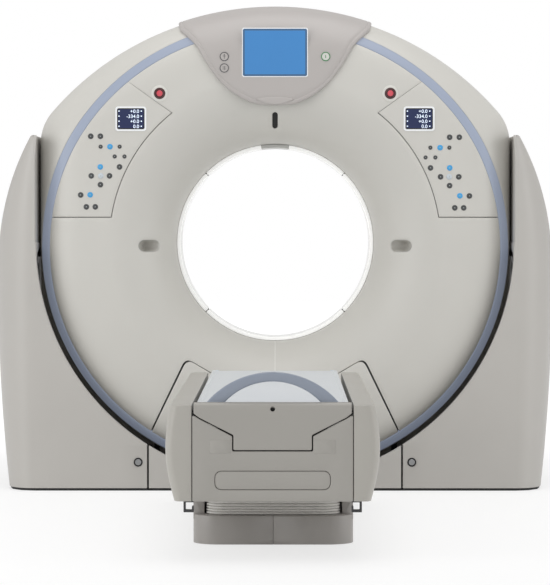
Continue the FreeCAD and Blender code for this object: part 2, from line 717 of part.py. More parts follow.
def dock_prism(gap, low, high):
    """The docking panel's outline as a prism, its corners rounded, its foot left for the ring to trim."""
    foot_x, foot_z = float(S.dock_foot_x), float(S.dock_foot_z)
    top_x, top_z = float(S.dock_shoulder_x), float(S.dock_shoulder_z)
    notch_x, notch_z = float(S.dock_notch_x), float(S.dock_notch_z)
    slope = (foot_x - top_x) / (top_z - foot_z)
    deep = foot_z - 300
    deep_x = foot_x + slope * 300
    half = ((deep_x - gap, deep), (top_x - gap, top_z - gap), (notch_x, notch_z - gap))
    points = [(-x, z) for x, z in half] + [(x, z) for x, z in reversed(half)]
    prism = prism_y(points, low, high)
    corners = [
        edge
        for edge in prism.Edges
        if abs(edge.tangentAt(edge.FirstParameter).y) > 0.99 and edge.BoundBox.ZMin > deep + 1
    ]
    return prism.makeFillet(float(S.dock_round), corners)


def hood_prism(gap, low, high):
    """The console hood's shield outline as a prism: full at the top, drawn to a rounded tip below."""
    corner_x, corner_z = float(S.hood_half_top) - gap, float(S.hood_corner)
    tip = float(S.hood_tip) + gap
    span = corner_z - tip
    waist = Vector(corner_x * 0.81, low, corner_z - span * 0.26)
    low_side = Vector(corner_x * 0.51, low, tip + span * 0.225)
    foot_mid = Vector(0, low, tip)
    upper = Vector(corner_x, low, corner_z)
    top_z = float(S.dome_top) + 100

    def flipped(point):
        return Vector(-point.x, point.y, point.z)

    curve = Part.BSplineCurve()
    curve.interpolate([upper, waist, low_side, foot_mid, flipped(low_side), flipped(waist), flipped(upper)])
    lid = [flipped(upper), Vector(-corner_x - 30, low, top_z), Vector(corner_x + 30, low, top_z), upper]
    edges = [curve.toShape()] + Part.makePolygon(lid).Edges
    return Part.Face(Part.Wire(Part.__sortEdges__(edges))).extrude(Vector(0, high - low, 0))


def trunnion_holes(reach):
    return Part.makeCylinder(float(S.trunnion_hole), 2 * reach, Vector(-reach, 0, 0), Vector(1, 0, 0))


KEYS = (
    # the left panel's keys from the bore's centre: x, z, large or small
    (-743, 429.5, True),
    (-704, 429.5, True),
    (-703, 387.5, False),
    (-665.5, 387.5, True),
    (-626.5, 387.5, False),
    (-646.5, 348, False),
    (-607, 348, False),
    (-704.5, 306, True),
    (-627, 306, True),
    (-741, 270, True),
    (-702.5, 270, True),
    (-667.5, 270, True),
    (-704, 234.5, True),
    (-784, 193, True),
    (-745.5, 193.5, True),
    (-761, 145, True),
    (-725, 145, True),
)


def key_shapes(outer):
    """The keys of both panels: short many-sided studs that follow the panel's face."""
    shapes = []
    rise, front = float(S.key_rise), float(S.front_face)
    for x, z, large in KEYS:
        radius = float(S.key_radius if large else S.small_key_radius)
        corners = []
        for i in range(KEY_SIDES):
            turn = 2 * math.pi * (i + 0.5) / KEY_SIDES
            corners.append((x + radius * math.cos(turn), z + radius * math.sin(turn)))
        shapes.append(prism_y(corners, -front - rise, -front + rise).cut(outer))
    return shapes + [mirror_x(shape) for shape in shapes]


def readout_shapes(outer):
    """The small displays of both panels, each a thin plate on the panel's face."""
    rise, front = float(S.readout_rise), float(S.front_face)
    x, z = float(S.readout_x), float(S.readout_z)
    half_w, half_h = float(S.readout_width) / 2, float(S.readout_height) / 2
    left, right, low, high = x - half_w, x + half_w, z - half_h, z + half_h
    corners = [(left, low), (right, low), (right, high), (left, high)]
    plate = prism_y(corners, -front - rise, -front + rise).cut(outer)
    return [plate, mirror_x(plate)]


def gantry_covers():
    """The moulded covers of the tilting body, with everything that is let into their front."""
    outer = body_form(0)
    funnel = funnel_form(0)
    hull = outer.cut(funnel)
    wall, seam = float(S.cover_wall), float(S.seam)
    shell = hull.cut(body_form(wall, LINING_STEPS).cut(funnel_form(wall, LINING_STEPS)))
    split = float(S.rim_half) + 30
    core = (float(S.crease_radius) + float(S.side_half)) / 2
    front_core = Part.makeCylinder(core, FAR, Vector(0, -FAR, 0), Vector(0, 1, 0))
    rear_core = Part.makeCylinder(core, FAR, Vector(0, 0, 0), Vector(0, 1, 0))
    band = float(S.ring_band)
    front_zone = ellipse_prism(0, -FAR, -split).fuse(front_core)
    rear_zone = ellipse_prism(0, split, FAR).fuse(rear_core)
    rim = shell.cut(front_zone).cut(rear_zone).cut(trunnion_holes(float(STAND_HALF)))
    keep_shape("rim_cover", rim, GANTRY)
    rear_tool = ellipse_prism(seam, split, FAR).fuse(
        Part.makeCylinder(core - seam, FAR, Vector(0, seam / 2, 0), Vector(0, 1, 0))
    )
    keep_shape("rear_cover", shell.common(rear_tool), GANTRY)
    ring_tool = ellipse_prism(seam, -FAR, -split).cut(ellipse_prism(band, -FAR, -split + 1))
    keep_shape("trim_ring", shell.common(ring_tool.cut(front_core)), GANTRY)
    front_tool = ellipse_prism(band + seam, -FAR, -split).fuse(
        Part.makeCylinder(core - seam, FAR - seam / 2, Vector(0, -FAR, 0), Vector(0, 1, 0))
    )
    front = shell.common(front_tool)
    near = -FAR / 2
    left_panel = panel_prism(0, near, -split)
    right_panel = mirror_x(left_panel)
    dock = dock_prism(0, near, -split)
    estop_hole = float(S.estop_radius + S.estop_gap)
    openings = [left_panel, right_panel, dock, laser_slot(0)]
    for _, sign in SIDES:
        centre = Vector(sign * float(S.estop_x), near, float(S.estop_z))
        openings.append(Part.makeCylinder(estop_hole, -near, centre, Vector(0, 1, 0)))
        openings.append(scoop_plug(sign, 0, near, 0))
    keep_shape("front_cover", front.cut(openings), GANTRY)
    for side, sign in SIDES:
        prism = panel_prism(seam, near, -split)
        prism = prism if sign < 0 else mirror_x(prism)
        keep_shape(f"{side}_control_panel", front.common(prism), GANTRY)
    keep_shape("panel_keys", Part.makeCompound(key_shapes(outer)), GANTRY)
    keep_shape("panel_readouts", Part.makeCompound(readout_shapes(outer)), GANTRY)
    keep_shape("docking_panel", front.common(dock_prism(seam, near, -split)), GANTRY)
    keep_shape("laser_window", laser_window(shell), GANTRY)
    scoops = [laser_scoop(sign, hull) for _, sign in SIDES]
    keep_shape("laser_scoops", Part.makeCompound(scoops), GANTRY)
    console(outer)
    bore_liner()


def laser_slot(gap):
    return stadium(
        0, float(S.slot_z), float(S.slot_width) - 2 * gap, float(S.slot_height) - 2 * gap, -FAR / 2, 0
    )


def laser_window(shell):
    """The dark window in the upper slot, a little below the cover's skin."""
    sunk = shell.translated(Vector(0, 3, 0))
    return sunk.common(shell).common(laser_slot(float(S.seam) / 2))


def scoop_plug(sign, gap, low, high):
    return stadium(
        sign * float(S.scoop_x),
        float(S.scoop_z),
        float(S.scoop_width) - 2 * gap,
        float(S.scoop_height) - 2 * gap,
        low,
        high,
    )


def laser_scoop(sign, hull):
    """The cup of a side laser: its floor slopes down from the bore to a deep outer end."""
    skin = hull.common(scoop_plug(sign, 0, -FAR / 2, 0)).BoundBox
    wall, depth = float(S.scoop_wall), float(S.scoop_depth)
    low = skin.YMin
    floor = low + 2 * depth + wall
    plug = scoop_plug(sign, float(S.seam) / 2, low, floor).common(hull)
    inside = scoop_plug(sign, wall, low - depth, floor - wall)
    inner_x = sign * float(S.scoop_x - S.scoop_width / 2)
    outer_x = sign * float(S.scoop_x + S.scoop_width / 2)
    slope = [
        Vector(inner_x, low - depth, -FAR / 2),
        Vector(outer_x, low - depth, -FAR / 2),
        Vector(outer_x, low + 1.45 * depth, -FAR / 2),
        Vector(inner_x, low + 0.55 * depth, -FAR / 2),
    ]
    ramp = Part.Face(Part.makePolygon(slope + slope[:1])).extrude(Vector(0, 0, FAR))
    return plug.cut(inside.common(ramp))


def console(outer):
    """The hood over the gantry's top with its screen, and the round marks beside the screen."""
    rise = float(S.hood_rise)
    front = -float(S.front_face) - rise
    skin = body_form(-rise).cut(outer)
    prism = hood_prism(0, -FAR / 2, float(S.hood_back))
    half_w, half_h = float(S.screen_width) / 2, float(S.screen_height) / 2
    centre = float(S.screen_centre)
    frame_back = front + rise / 2
    recess = Part.makeBox(
        2 * half_w, rise, 2 * half_h, Vector(-half_w, frame_back - rise, centre - half_h)
    )
    keep_shape("console_hood", skin.common(prism).cut(recess), GANTRY)
    face = -S.front_face - S.hood_rise
    wide, tall = (S.screen_width - S.seam) / 2, (S.screen_height - S.seam) / 2
    screen = box(
        "screen_plate",
        (-wide, face - S.screen_rise, S.screen_centre - tall),
        (wide, face + S.hood_rise / 2, S.screen_centre + tall),
    )
    keep("console_screen", screen, GANTRY)
    marks = []
    for x, z in ((-S.mark_x, S.mark_high), (-S.mark_x, S.mark_low), (S.mark_x, S.mark_high)):
        marks.append(cylinder("mark", S.mark_radius, (x, face - S.mark_rise, z), S.mark_rise, "y"))
    keep("console_marks", group("console_mark_set", marks), GANTRY)


def bore_liner():
    """The smooth liner of the bore."""
    radius, lip = S.bore_radius, S.lip_radius - S.seam
    end = S.lip_depth
    corners = ((radius, -end), (radius, end), (lip, end), (lip, -end))
    keep("bore_liner", revolved("bore_liner_body", corners), GANTRY)


def emergency_buttons():
    """Two push buttons in collars on the face; each presses straight in."""
    collars = []
    for side, sign in SIDES:
        x, z, rise = sign * S.estop_x, S.estop_z, S.estop_rise
        ring = cylinder(f"{side}_collar_disc", S.estop_collar, (x, -S.front_face - rise, z), rise, "y")
        bore = S.estop_radius + S.estop_gap
        hole = cylinder(f"{side}_collar_hole", bore, (x, -S.front_face - 2 * rise, z), 3 * rise, "y")
        collars.append(cut(f"{side}_collar", ring, [hole]))
        start = (x, -S.front_face - S.estop_proud, z)
        length = S.estop_proud + 2 * S.cover_wall
        cap = cylinder(f"{side}_estop_cap", S.estop_radius, start, length, "y")
        keep(f"{side}_estop_button", cap, GANTRY)
    keep("estop_collars", group("estop_collar_set", collars), GANTRY)


# ---------------------------------------------------------------- stands and floor frame


def stand_width(z):
    """Half the width over the stands at a height from the bore's centre."""
    waist, top = float(S.stand_waist), float(S.stand_top)
    widest = float(STAND_HALF)
    if z < waist:
        return widest - float(S.stand_taper_low) * ((waist - z) / (waist - float(FLOOR))) ** 2
    taper = widest - float(STAND_INNER + S.stand_top_rim)
    return widest - taper * ((z - waist) / (top - waist)) ** STAND_CURVE


def stand_corner(z):
    """The reach across X of the stands' rounded outer corners at one height."""
    return max(0.85 * (stand_width(z) - float(STAND_INNER)) + 10, 6)


def stand_points(z, inset, inner_x):
    """The corners of the right stand's plan at one height, the ends of its rounds among them."""
    wide = stand_width(z) - inset
    front, rear = -float(S.stand_front) + inset, float(S.stand_rear) - inset
    corner = min(stand_corner(z), wide - inner_x - 3)
    depth = corner * CORNER_STRETCH
    return [
        Vector(inner_x, front, z),
        Vector(wide - corner, front, z),
        Vector(wide, front + depth, z),
        Vector(wide, rear - depth, z),
        Vector(wide - corner, rear, z),
        Vector(inner_x, rear, z),
    ]


def stand_section(z, inset, inner_x):
    """The right stand's plan at one height: straight inside, its outer corners rounded."""
    points = stand_points(z, inset, inner_x)
    across = points[2].x - points[1].x
    along = points[2].y - points[1].y
    front = arc_points(Vector(points[1].x, points[2].y, z), across, -along, 90, CORNER_STEPS)
    rear = arc_points(Vector(points[4].x, points[3].y, z), across, along, 90, CORNER_STEPS)
    corners = [points[0]] + list(reversed(front)) + rear + [points[5]]
    return Part.makePolygon(corners + corners[:1])


def stand_form(inset, inner_x, low, high):
    """The right stand as a lofted solid between two heights from the bore's centre."""
    levels = [low + (high - low) * i / STAND_LEVELS for i in range(STAND_LEVELS + 1)]
    return Part.makeLoft([stand_section(z, inset, inner_x) for z in levels], True, True)


def stand_cavity(inset, inner_x, low, high):
    """The space inside the right stand's covers, with flat sides."""
    wires = []
    for i in range(STAND_LEVELS + 1):
        points = stand_points(low + (high - low) * i / STAND_LEVELS, inset, inner_x)
        wires.append(Part.makePolygon(points + points[:1]))
    return Part.makeLoft(wires, True, True)


def stand_shell():
    """The right stand's covers, front and rear still in one: a tower beside and a skin below the gantry."""
    wall = float(S.stand_wall)
    inner = float(STAND_INNER)
    low, high = float(FLOOR + S.plinth), float(S.stand_top)
    skirt = float(S.skirt_half + S.skirt_gap)
    front, depth = -float(S.stand_front), float(S.stand_front + S.stand_rear)
    cutout, lip_depth = float(CUTOUT), float(S.cutout_lip)
    solid = stand_form(0, skirt, low, high)
    tower = stand_cavity(wall, inner + wall, low - wall, high - float(S.stand_roof))
    between = Part.makeBox(inner, depth - 2 * wall, FAR, Vector(0, front + wall, low - wall))
    ring = Part.makeCylinder(cutout + wall, depth, Vector(0, front, 0), Vector(0, 1, 0))
    ring = ring.common(Part.makeBox(inner - skirt, depth, -low, Vector(skirt, front, low)))
    lip = ring.cut(Part.makeBox(FAR, depth - 2 * lip_depth, FAR, Vector(0, front + lip_depth, -FAR)))
    inside = Part.makeBox(inner, 2 * FAR, 2 * FAR, Vector(0, -FAR, -FAR))
    hole = Part.makeCylinder(cutout, 2 * FAR, Vector(0, -FAR, 0), Vector(0, 1, 0)).common(inside)
    above = Part.makeBox(inner, 2 * FAR, FAR, Vector(0, -FAR, 0))
    shell = solid.cut([tower, between]).fuse(lip.common(solid)).cut([hole, above])
    return shell.cut(trunnion_holes(inner + 2 * wall)).removeSplitter()


def stand_covers():
    """Each stand's covers, which part at the bore's centre into a front and a rear one."""
    shell = stand_shell()
    gap = float(S.seam) / 2
    halves = (
        ("front", Part.makeBox(2 * FAR, FAR - gap, 2 * FAR, Vector(-FAR, -FAR, -FAR))),
        ("rear", Part.makeBox(2 * FAR, FAR, 2 * FAR, Vector(-FAR, gap, -FAR))),
    )
    for end, half in halves:
        right = shell.common(half)
        for side, sign in SIDES:
            keep_shape(f"{side}_stand_{end}_cover", right if sign > 0 else mirror_x(right), GANTRY)


def skirts():
    """The low panels between the stands, in front of and behind the gantry's foot."""
    wall, half = float(S.stand_wall), float(S.skirt_half)
    low = float(FLOOR + S.bridge_plate)
    cutout = Part.makeCylinder(float(CUTOUT), 2 * FAR, Vector(0, -FAR, 0), Vector(0, 1, 0))
    lip_ring = Part.makeCylinder(float(CUTOUT) + wall, 2 * FAR, Vector(0, -FAR, 0), Vector(0, 1, 0))
    lip_depth = float(S.cutout_lip)
    for node, y, way in (("front_skirt", -float(S.stand_front), 1), ("rear_skirt", float(S.stand_rear), -1)):
        start = y if way > 0 else y - wall
        plate = Part.makeBox(2 * half, wall, FAR, Vector(-half, start, low))
        plate = plate.common(Part.makeBox(FAR, FAR, -low, Vector(-FAR / 2, -FAR / 2, low)))
        lip_start = y if way > 0 else y - lip_depth
        lip = Part.makeBox(2 * half, lip_depth, -low, Vector(-half, lip_start, low)).common(lip_ring)
        keep_shape(node, plate.fuse(lip).cut(cutout).removeSplitter(), GANTRY)


def floor_frame():
    """The steel plate that both stands are bolted to, tied by a thin plate under the gantry."""
    plates = []
    inset = float(S.plinth_inset)
    low, rise = float(FLOOR), float(S.plinth)
    wire = stand_section(low + rise, inset, float(S.skirt_half + S.skirt_gap))
    wire.translate(Vector(0, 0, -rise))
    plate = Part.Face(wire).extrude(Vector(0, 0, rise))
    plates += [plate, mirror_x(plate)]
    half = float(S.skirt_half + S.skirt_gap)
    depth = float(S.stand_front + S.stand_rear) - 2 * inset
    corner = Vector(-half, inset - float(S.stand_front), low)
    bridge = Part.makeBox(2 * half, depth, float(S.bridge_plate), corner)
    frame = plates[0].multiFuse([plates[1], bridge]).removeSplitter()
    holes = []
    for sign in (-1, 1):
        for y in (-ANCHOR_Y, ANCHOR_Y):
            x = sign * float(ANCHOR_X)
            holes.append(Part.makeCylinder(float(S.anchor_radius), 3 * rise, Vector(x, float(y), low - rise)))
    keep_shape("floor_frame", frame.cut(holes), GANTRY)


def pedestals():
    """The welded posts inside the stands, each with the seat of a tilt bearing at its head."""
    head = S.bearing_outer + S.bearing_cheek
    foot = FLOOR + S.plinth
    bearings = []
    trunnions = []
    for side, sign in SIDES:
        x = PEDESTAL_IN if sign > 0 else -PEDESTAL_IN - S.pedestal_width
        post = body(f"{side}_post")
        sketch = sketch_on(post, f"{side}_post_outline", "YZ", x)
        corners = ((-S.pedestal_half, foot), (S.pedestal_half, foot), (head, 0), (-head, 0))
        outline(sketch, corners)
        pad(post, sketch, S.pedestal_width)
        round_head = cylinder(f"{side}_post_head", head, (x, 0, 0), S.pedestal_width, "x")
        seat = cylinder(f"{side}_post_seat", S.bearing_outer, (x, 0, 0), S.pedestal_width, "x")
        solid = fuse(f"{side}_post_solid", [post, round_head])
        keep(f"{side}_pedestal", cut(f"{side}_pedestal_cut", solid, [seat]), GANTRY)
        race = cylinder(f"{side}_race", S.bearing_outer, (x, 0, 0), S.pedestal_width, "x")
        eye = cylinder(f"{side}_eye", S.trunnion_radius + S.trunnion_fit, (x, 0, 0), S.pedestal_width, "x")
        bearings.append(cut(f"{side}_tilt_bearing", race, [eye]))
        length = PEDESTAL_IN + S.pedestal_width + S.trunnion_end - FRAME_SIDE
        shaft_x = FRAME_SIDE if sign > 0 else -FRAME_SIDE - length
        shaft = cylinder(f"{side}_shaft", S.trunnion_radius, (shaft_x, 0, 0), length, "x")
        flange_x = FRAME_SIDE if sign > 0 else -FRAME_SIDE - S.trunnion_flange
        flange = cylinder(
            f"{side}_flange", 1.25 * S.trunnion_radius, (flange_x, 0, 0), S.trunnion_flange, "x"
        )
        trunnions.append(fuse(f"{side}_trunnion", [shaft, flange]))
    keep("tilt_bearings", group("tilt_bearing_set", bearings), GANTRY)
    keep("trunnions", group("trunnion_set", trunnions), GANTRY)


def cover_latches():
    """The slotted quarter-turn studs at the foot of the stands' front covers."""
    latches = []
    z, rise, front = FLOOR + S.latch_z, S.latch_rise, -S.stand_front
    half_w, half_h = S.latch_slot / 2, S.latch_radius / 2
    for side, sign in SIDES:
        x = sign * S.latch_x
        cap = cylinder(f"{side}_latch_cap", S.latch_radius, (x, front - rise, z), rise, "y")
        low = (x - half_w, front - rise, z - half_h)
        slot = box(f"{side}_latch_slot", low, (x + half_w, front - rise / 2, z + half_h))
        latches.append(cut(f"{side}_latch", cap, [slot]))
    keep("cover_latches", group("latch_set", latches), GANTRY)


# ---------------------------------------------------------------- tilting frame and rotor


def tilt_frame():
    """The cast frame that tilts: a plate round the main bearing, with a side wall at each trunnion."""
    y = S.frame_face
    plate = cylinder("frame_disc", S.side_half - S.frame_set, (0, y, 0), S.frame_plate, "y")
    side_in = ROTOR_RADIUS + S.frame_side_gap
    half, pad_half = S.frame_side_half, S.frame_pad_half
    parts = [plate]
    for side, sign in SIDES:
        near, far = (side_in, FRAME_SIDE) if sign > 0 else (-FRAME_SIDE, -side_in)
        parts.append(box(f"{side}_frame_side", (near, -half, -half), (far, y + S.frame_plate, half)))
        out = FRAME_SIDE + S.frame_pad
        near, far = (FRAME_SIDE, out) if sign > 0 else (-out, -FRAME_SIDE)
        low = (near, -pad_half, half - S.frame_pad_height)
        parts.append(box(f"{side}_frame_pad", low, (far, pad_half, half)))
    eye = cylinder("frame_eye", S.frame_inner, (0, y, 0), S.frame_plate, "y")
    keep("tilt_frame", cut("frame_cut", fuse("frame_solid", parts), [eye]), GANTRY)
    outer = S.frame_inner
    inner = S.frame_inner - S.bearing_band
    low, high = y - S.bearing_lip, BEARING_REAR
    ring = ((inner, low), (outer, low), (outer, high), (inner, high))
    keep("main_bearing", revolved("bearing_ring", ring), GANTRY)
    brush = box(
        "brush",
        (-S.brush_half, BEARING_REAR, HUB_IN + S.brush_gap),
        (S.brush_half, BEARING_REAR + S.brush_depth, S.frame_inner + S.brush_reach),
    )
    keep("brush_block", brush, GANTRY)


def rotor():
    """The drum that spins about the bore, with the X-ray chain and its balance weights."""
    face, plate = S.rotor_face, S.rotor_plate
    front = -S.rotor_depth
    rear = BEARING_REAR - S.hub_set
    radius, bore, rim = ROTOR_RADIUS, S.rotor_bore, S.rotor_rim
    corners = (
        (bore, face),
        (radius - rim, face),
        (radius - rim, front),
        (radius, front),
        (radius, face + plate),
        (HUB_OUT, face + plate),
        (HUB_OUT, rear),
        (HUB_IN, rear),
        (HUB_IN, face + plate),
        (bore, face + plate),
    )
    keep("rotor_drum", revolved("drum", corners), GANTRY)
    low, high = face + plate, face + plate + S.slip_ring_depth
    inner = HUB_IN - S.slip_ring_band
    slip = revolved("slip_ring_body", ((inner, low), (HUB_IN, low), (HUB_IN, high), (inner, high)))
    keep("slip_ring", slip, GANTRY)
    cap_face = front + S.tube_cap
    tube = cylinder("tube_case", S.tube_radius, (0, cap_face, TUBE_PLACE), face - cap_face, "y")
    cap = cylinder("tube_end", 0.62 * S.tube_radius, (0, front, TUBE_PLACE), S.tube_cap, "y")
    keep("x_ray_tube", fuse("tube_solid", [tube, cap]), GANTRY)
    collimator(face)
    detector(face)
    housings = (
        ("high_voltage_generator", 182, S.generator_width, S.generator_height),
        ("heat_exchanger", 35, S.exchanger_width, S.exchanger_height),
        ("counterweight", 150, S.weight_width, S.weight_height),
    )
    for node, angle, width, height in housings:
        rotor_box(node, angle, float(width), float(height), float(face))


def collimator(face):
    """The block under the X-ray tube whose mouth stops short of the rotor's hole."""
    half = float(S.collimator_half)
    low = math.sqrt(float(S.rotor_bore + S.detector_gap) ** 2 - half**2)
    high = float(TUBE_PLACE - S.tube_radius - S.bearing_fit)
    depth = float(face + S.rotor_depth) * 0.74
    block = Part.makeBox(2 * half, depth, high - low, Vector(-half, float(face) - depth, low))
    keep_shape("collimator", block, GANTRY)


def detector(face):
    """The detector's arc, centred on the X-ray tube's focus."""
    focus = float(TUBE_PLACE)
    inner, outer = float(FAN_RADIUS), float(FAN_RADIUS + S.detector_band)
    half = math.radians(float(S.fan_half_angle))
    depth = float(face + S.rotor_depth) * 0.82

    def at(radius, angle):
        return Vector(radius * math.sin(angle), float(face) - depth, focus - radius * math.cos(angle))

    edges = [
        Part.Arc(at(inner, -half), at(inner, 0), at(inner, half)).toShape(),
        Part.LineSegment(at(inner, half), at(outer, half)).toShape(),
        Part.Arc(at(outer, half), at(outer, 0), at(outer, -half)).toShape(),
        Part.LineSegment(at(outer, -half), at(inner, -half)).toShape(),
    ]
    keep_shape("detector", Part.Face(Part.Wire(edges)).extrude(Vector(0, depth, 0)), GANTRY)


def rotor_box(node, angle, width, height, face):
    """A housing bolted to the rotor's disc at an angle from +X, its height along the radius."""
    clear = float(ROTOR_RADIUS - S.rotor_rim - S.rotor_part_gap)
    outer = math.sqrt(clear**2 - width**2 / 4)
    depth = float(S.rotor_depth) + face - width / 8
    block = Part.makeBox(height, depth, width, Vector(outer - height, face - depth, -width / 2))
    block.rotate(Vector(), Vector(0, -1, 0), angle)
    keep_shape(node, block, GANTRY)


# ---------------------------------------------------------------- the couch


def couch_base():
    """The base on the floor: a steel plate under a cover in two halves, open round the lift column."""
    plate = body("base_plate_body")
    sketch = sketch_on(plate, "base_plate_outline", "XY")
    inset = S.base_plate_inset
    half_x = S.base_half - inset
    rectangle(sketch, (-half_x, -S.base_near + inset), (half_x, -S.base_far - inset))
    pad(plate, sketch, S.base_plate_rise)
    round_edges(plate, "base_plate_round", S.base_round - inset, lambda e: runs_along(e, Vector(0, 0, 1)))
    holes = sketch_on(plate, "base_anchor_holes", "XY")
    for sign in (-1, 1):
        for y in (-S.base_near + S.base_anchor_y, -S.base_far - S.base_anchor_y):
            circle(holes, (sign * (S.base_half - S.base_anchor_x), y), S.anchor_radius)
    pocket(plate, holes, S.base_plate_rise, True)
    keep("couch_base_plate", plate, COUCH)

    half, wall, top = float(S.base_half), float(S.base_wall), float(S.base_top)
    near, far = -float(S.base_near), -float(S.base_far)
    corner, inner = float(S.base_round), half - float(S.base_horn)
    cover = rounded_block(half, near, far, 0, float(S.base_horn_top), corner)
    hollow = rounded_block(half - wall, near + wall, far - wall, -wall, top - wall, corner - wall)
    channel = Part.makeBox(2 * inner, FAR, FAR, Vector(-inner, -FAR, top))
    reach = 0.7 * corner
    ends = [Part.makeBox(FAR, FAR, FAR, Vector(-FAR / 2, y, top)) for y in (near + reach - FAR, far - reach)]
    well_half = float(S.column_width / 2 + S.column_well)
    well_long = float(S.column_length / 2 + S.column_well)
    well = Part.makeBox(2 * well_half, 2 * well_long, FAR, Vector(-well_half, float(BASE_MID) - well_long, 0))
    cover = cover.cut([hollow, channel, well] + ends)
    gap = float(S.seam) / 2
    for side, sign in SIDES:
        part = Part.makeBox(FAR, 2 * FAR, FAR, Vector(gap if sign > 0 else -gap - FAR, -2 * FAR, 0))
        keep_shape(f"{side}_base_cover", cover.common(part), COUCH)


def rounded_block(half_x, near, far, low, high, corner):
    """A block from side to side and end to end whose four upright edges are rounded."""
    block = Part.makeBox(2 * half_x, far - near, high - low, Vector(-half_x, near, low))
    return block.makeFillet(corner, [edge for edge in block.Edges if runs_along(edge, Vector(0, 0, 1))])


def stage(node, number):
    """One tube of the lift column; each stage slides in the one outside it."""
    step = (S.column_wall + S.column_gap) * number
    half_x = S.column_width / 2 - step
    half_y = S.column_length / 2 - step
    low = S.base_plate_rise + S.column_step * number
    high = S.column_top + S.column_step * number
    if number == 2:
        high = S.frame_top - S.deck_plate
    tube = body(f"{node}_tube")
    sketch = sketch_on(tube, f"{node}_outline", "XY", low)
    rectangle(sketch, (-half_x, BASE_MID - half_y), (half_x, BASE_MID + half_y))
    wall = S.column_wall
    rectangle(sketch, (-half_x + wall, BASE_MID - half_y + wall), (half_x - wall, BASE_MID + half_y - wall))
    pad(tube, sketch, high - low)
    keep(node, tube, COUCH)


def rounded_wire(half_x, low_y, high_y, corner, z):
    """A level rectangle whose round corners are drawn as short straight facets."""
    points = []
    turns = [(1, high_y, 0), (-1, high_y, 90), (-1, low_y, 180), (1, low_y, 270)]
    for sign, y, start in turns:
        centre = Vector(sign * (half_x - corner), y + (corner if y == low_y else -corner), z)
        for i in range(CORNER_STEPS + 1):
            turn = math.radians(start + 90 * i / CORNER_STEPS)
            points.append(centre + Vector(corner * math.cos(turn), corner * math.sin(turn), 0))
    return Part.makePolygon(points + points[:1])


def bellows():
    """The folded skirt round the lift column, with its ribs pressed together at rest."""
    half, fold, wall = float(S.bellows_half), float(S.bellows_fold), float(S.bellows_wall)
    near = -float(S.base_near) + float(S.bellows_end_gap)
    far = -float(S.base_far) - float(S.bellows_end_gap)
    low, high = float(S.base_top), float(S.couch_bottom)
    ribs = int(float(S.bellows_ribs))
    corner = float(S.base_round) * 0.7
    wires = []
    for i in range(2 * ribs + 1):
        inset = fold if i % 2 == 0 else 0
        z = low + (high - low) * i / (2 * ribs)
        wires.append(rounded_wire(half - inset, near + inset, far - inset, corner - inset, z))
    skin = Part.makeLoft(wires, True, True)
    inner = fold + wall
    void_wires = [
        rounded_wire(half - inner, near + inner, far - inner, corner - inner, z) for z in (low - 5, high + 5)
    ]
    keep_shape("bellows", skin.cut(Part.makeLoft(void_wires, True, True)), COUCH)


def couch_frame():
    """The frame that the lift carries: two side beams, the deck over the column and end ties."""
    near, far = -S.couch_reach + S.beam_near, -S.couch_far - S.beam_far
    low, high = S.couch_bottom + S.pan_wall, S.beam_top
    inner, outer = S.beam_inner, S.beam_inner + S.beam_width
    parts = []
    for side, sign in SIDES:
        x0, x1 = (inner, outer) if sign > 0 else (-outer, -inner)
        parts.append(box(f"{side}_beam", (x0, near, low), (x1, far, high)))
    deck_half = S.column_length / 2 + S.deck_over
    deck_low = S.frame_top - S.deck_plate
    deck = box("deck", (-inner, BASE_MID - deck_half, deck_low), (inner, BASE_MID + deck_half, S.frame_top))
    parts.append(deck)
    arm = S.cover_low_x - S.arm_set
    ties = (("near", near + S.near_tie), ("middle", near + S.middle_tie), ("far", far - S.far_tie))
    for name, y in ties:
        parts.append(box(f"{name}_bar", (-arm, y, low), (arm, y + S.tie_length, low + S.tie_height)))
    keep("couch_frame", fuse("couch_frame_solid", parts), COUCH)
    rails = []
    middle = S.beam_inner + S.beam_width / 2
    half_w, inset = S.rail_width / 2, S.rail_set
    for side, sign in SIDES:
        x = sign * middle
        start = (x - half_w, near + inset, high)
        rails.append(box(f"{side}_rail", start, (x + half_w, far - inset, high + S.rail_height)))
    keep("rails", group("rail_set", rails), COUCH)


def side_covers():
    """The couch's long side covers: bulging troughs with closed ends, open towards the frame."""
    near, far = S.couch_reach, S.couch_far
    x0, wall = S.end_half + S.end_gap, S.cover_skin
    low, high = S.couch_bottom, S.cover_top
    edge = S.cover_edge
    bow = arc_radius(high - low - edge, S.cover_mid_x - (S.cover_low_x + S.cover_high_x) / 2)
    for side, sign in SIDES:
        solid = body(f"{side}_side_body")
        sketch = sketch_on(solid, f"{side}_side_outline", "XZ", near)
        corners = [
            (x0, low),
            (S.cover_low_x, low),
            (S.cover_high_x, high - edge),
            (S.cover_high_x - edge, high),
            (x0, high),
        ]
        arc = {1: bow}
        if sign < 0:
            corners = [(-x, z) for x, z in reversed(corners)]
            arc = {2: bow}
        outline(sketch, corners, arc)
        pad(solid, sketch, near - far, True)
        hollow = sketch_on(solid, f"{side}_side_hollow", "XZ", near - wall)
        corners = [
            (x0 - 1, low + wall),
            (S.cover_low_x - wall, low + wall),
            (S.cover_mid_x - 1.6 * wall, (low + high) / 2),
            (S.cover_high_x - 1.5 * wall, high - wall),
            (x0 - 1, high - wall),
        ]
        if sign < 0:
            corners = [(-x, z) for x, z in reversed(corners)]
        outline(hollow, corners)
        pocket(solid, hollow, near - far - 2 * wall)
        keep(f"{side}_side_cover", solid, COUCH)


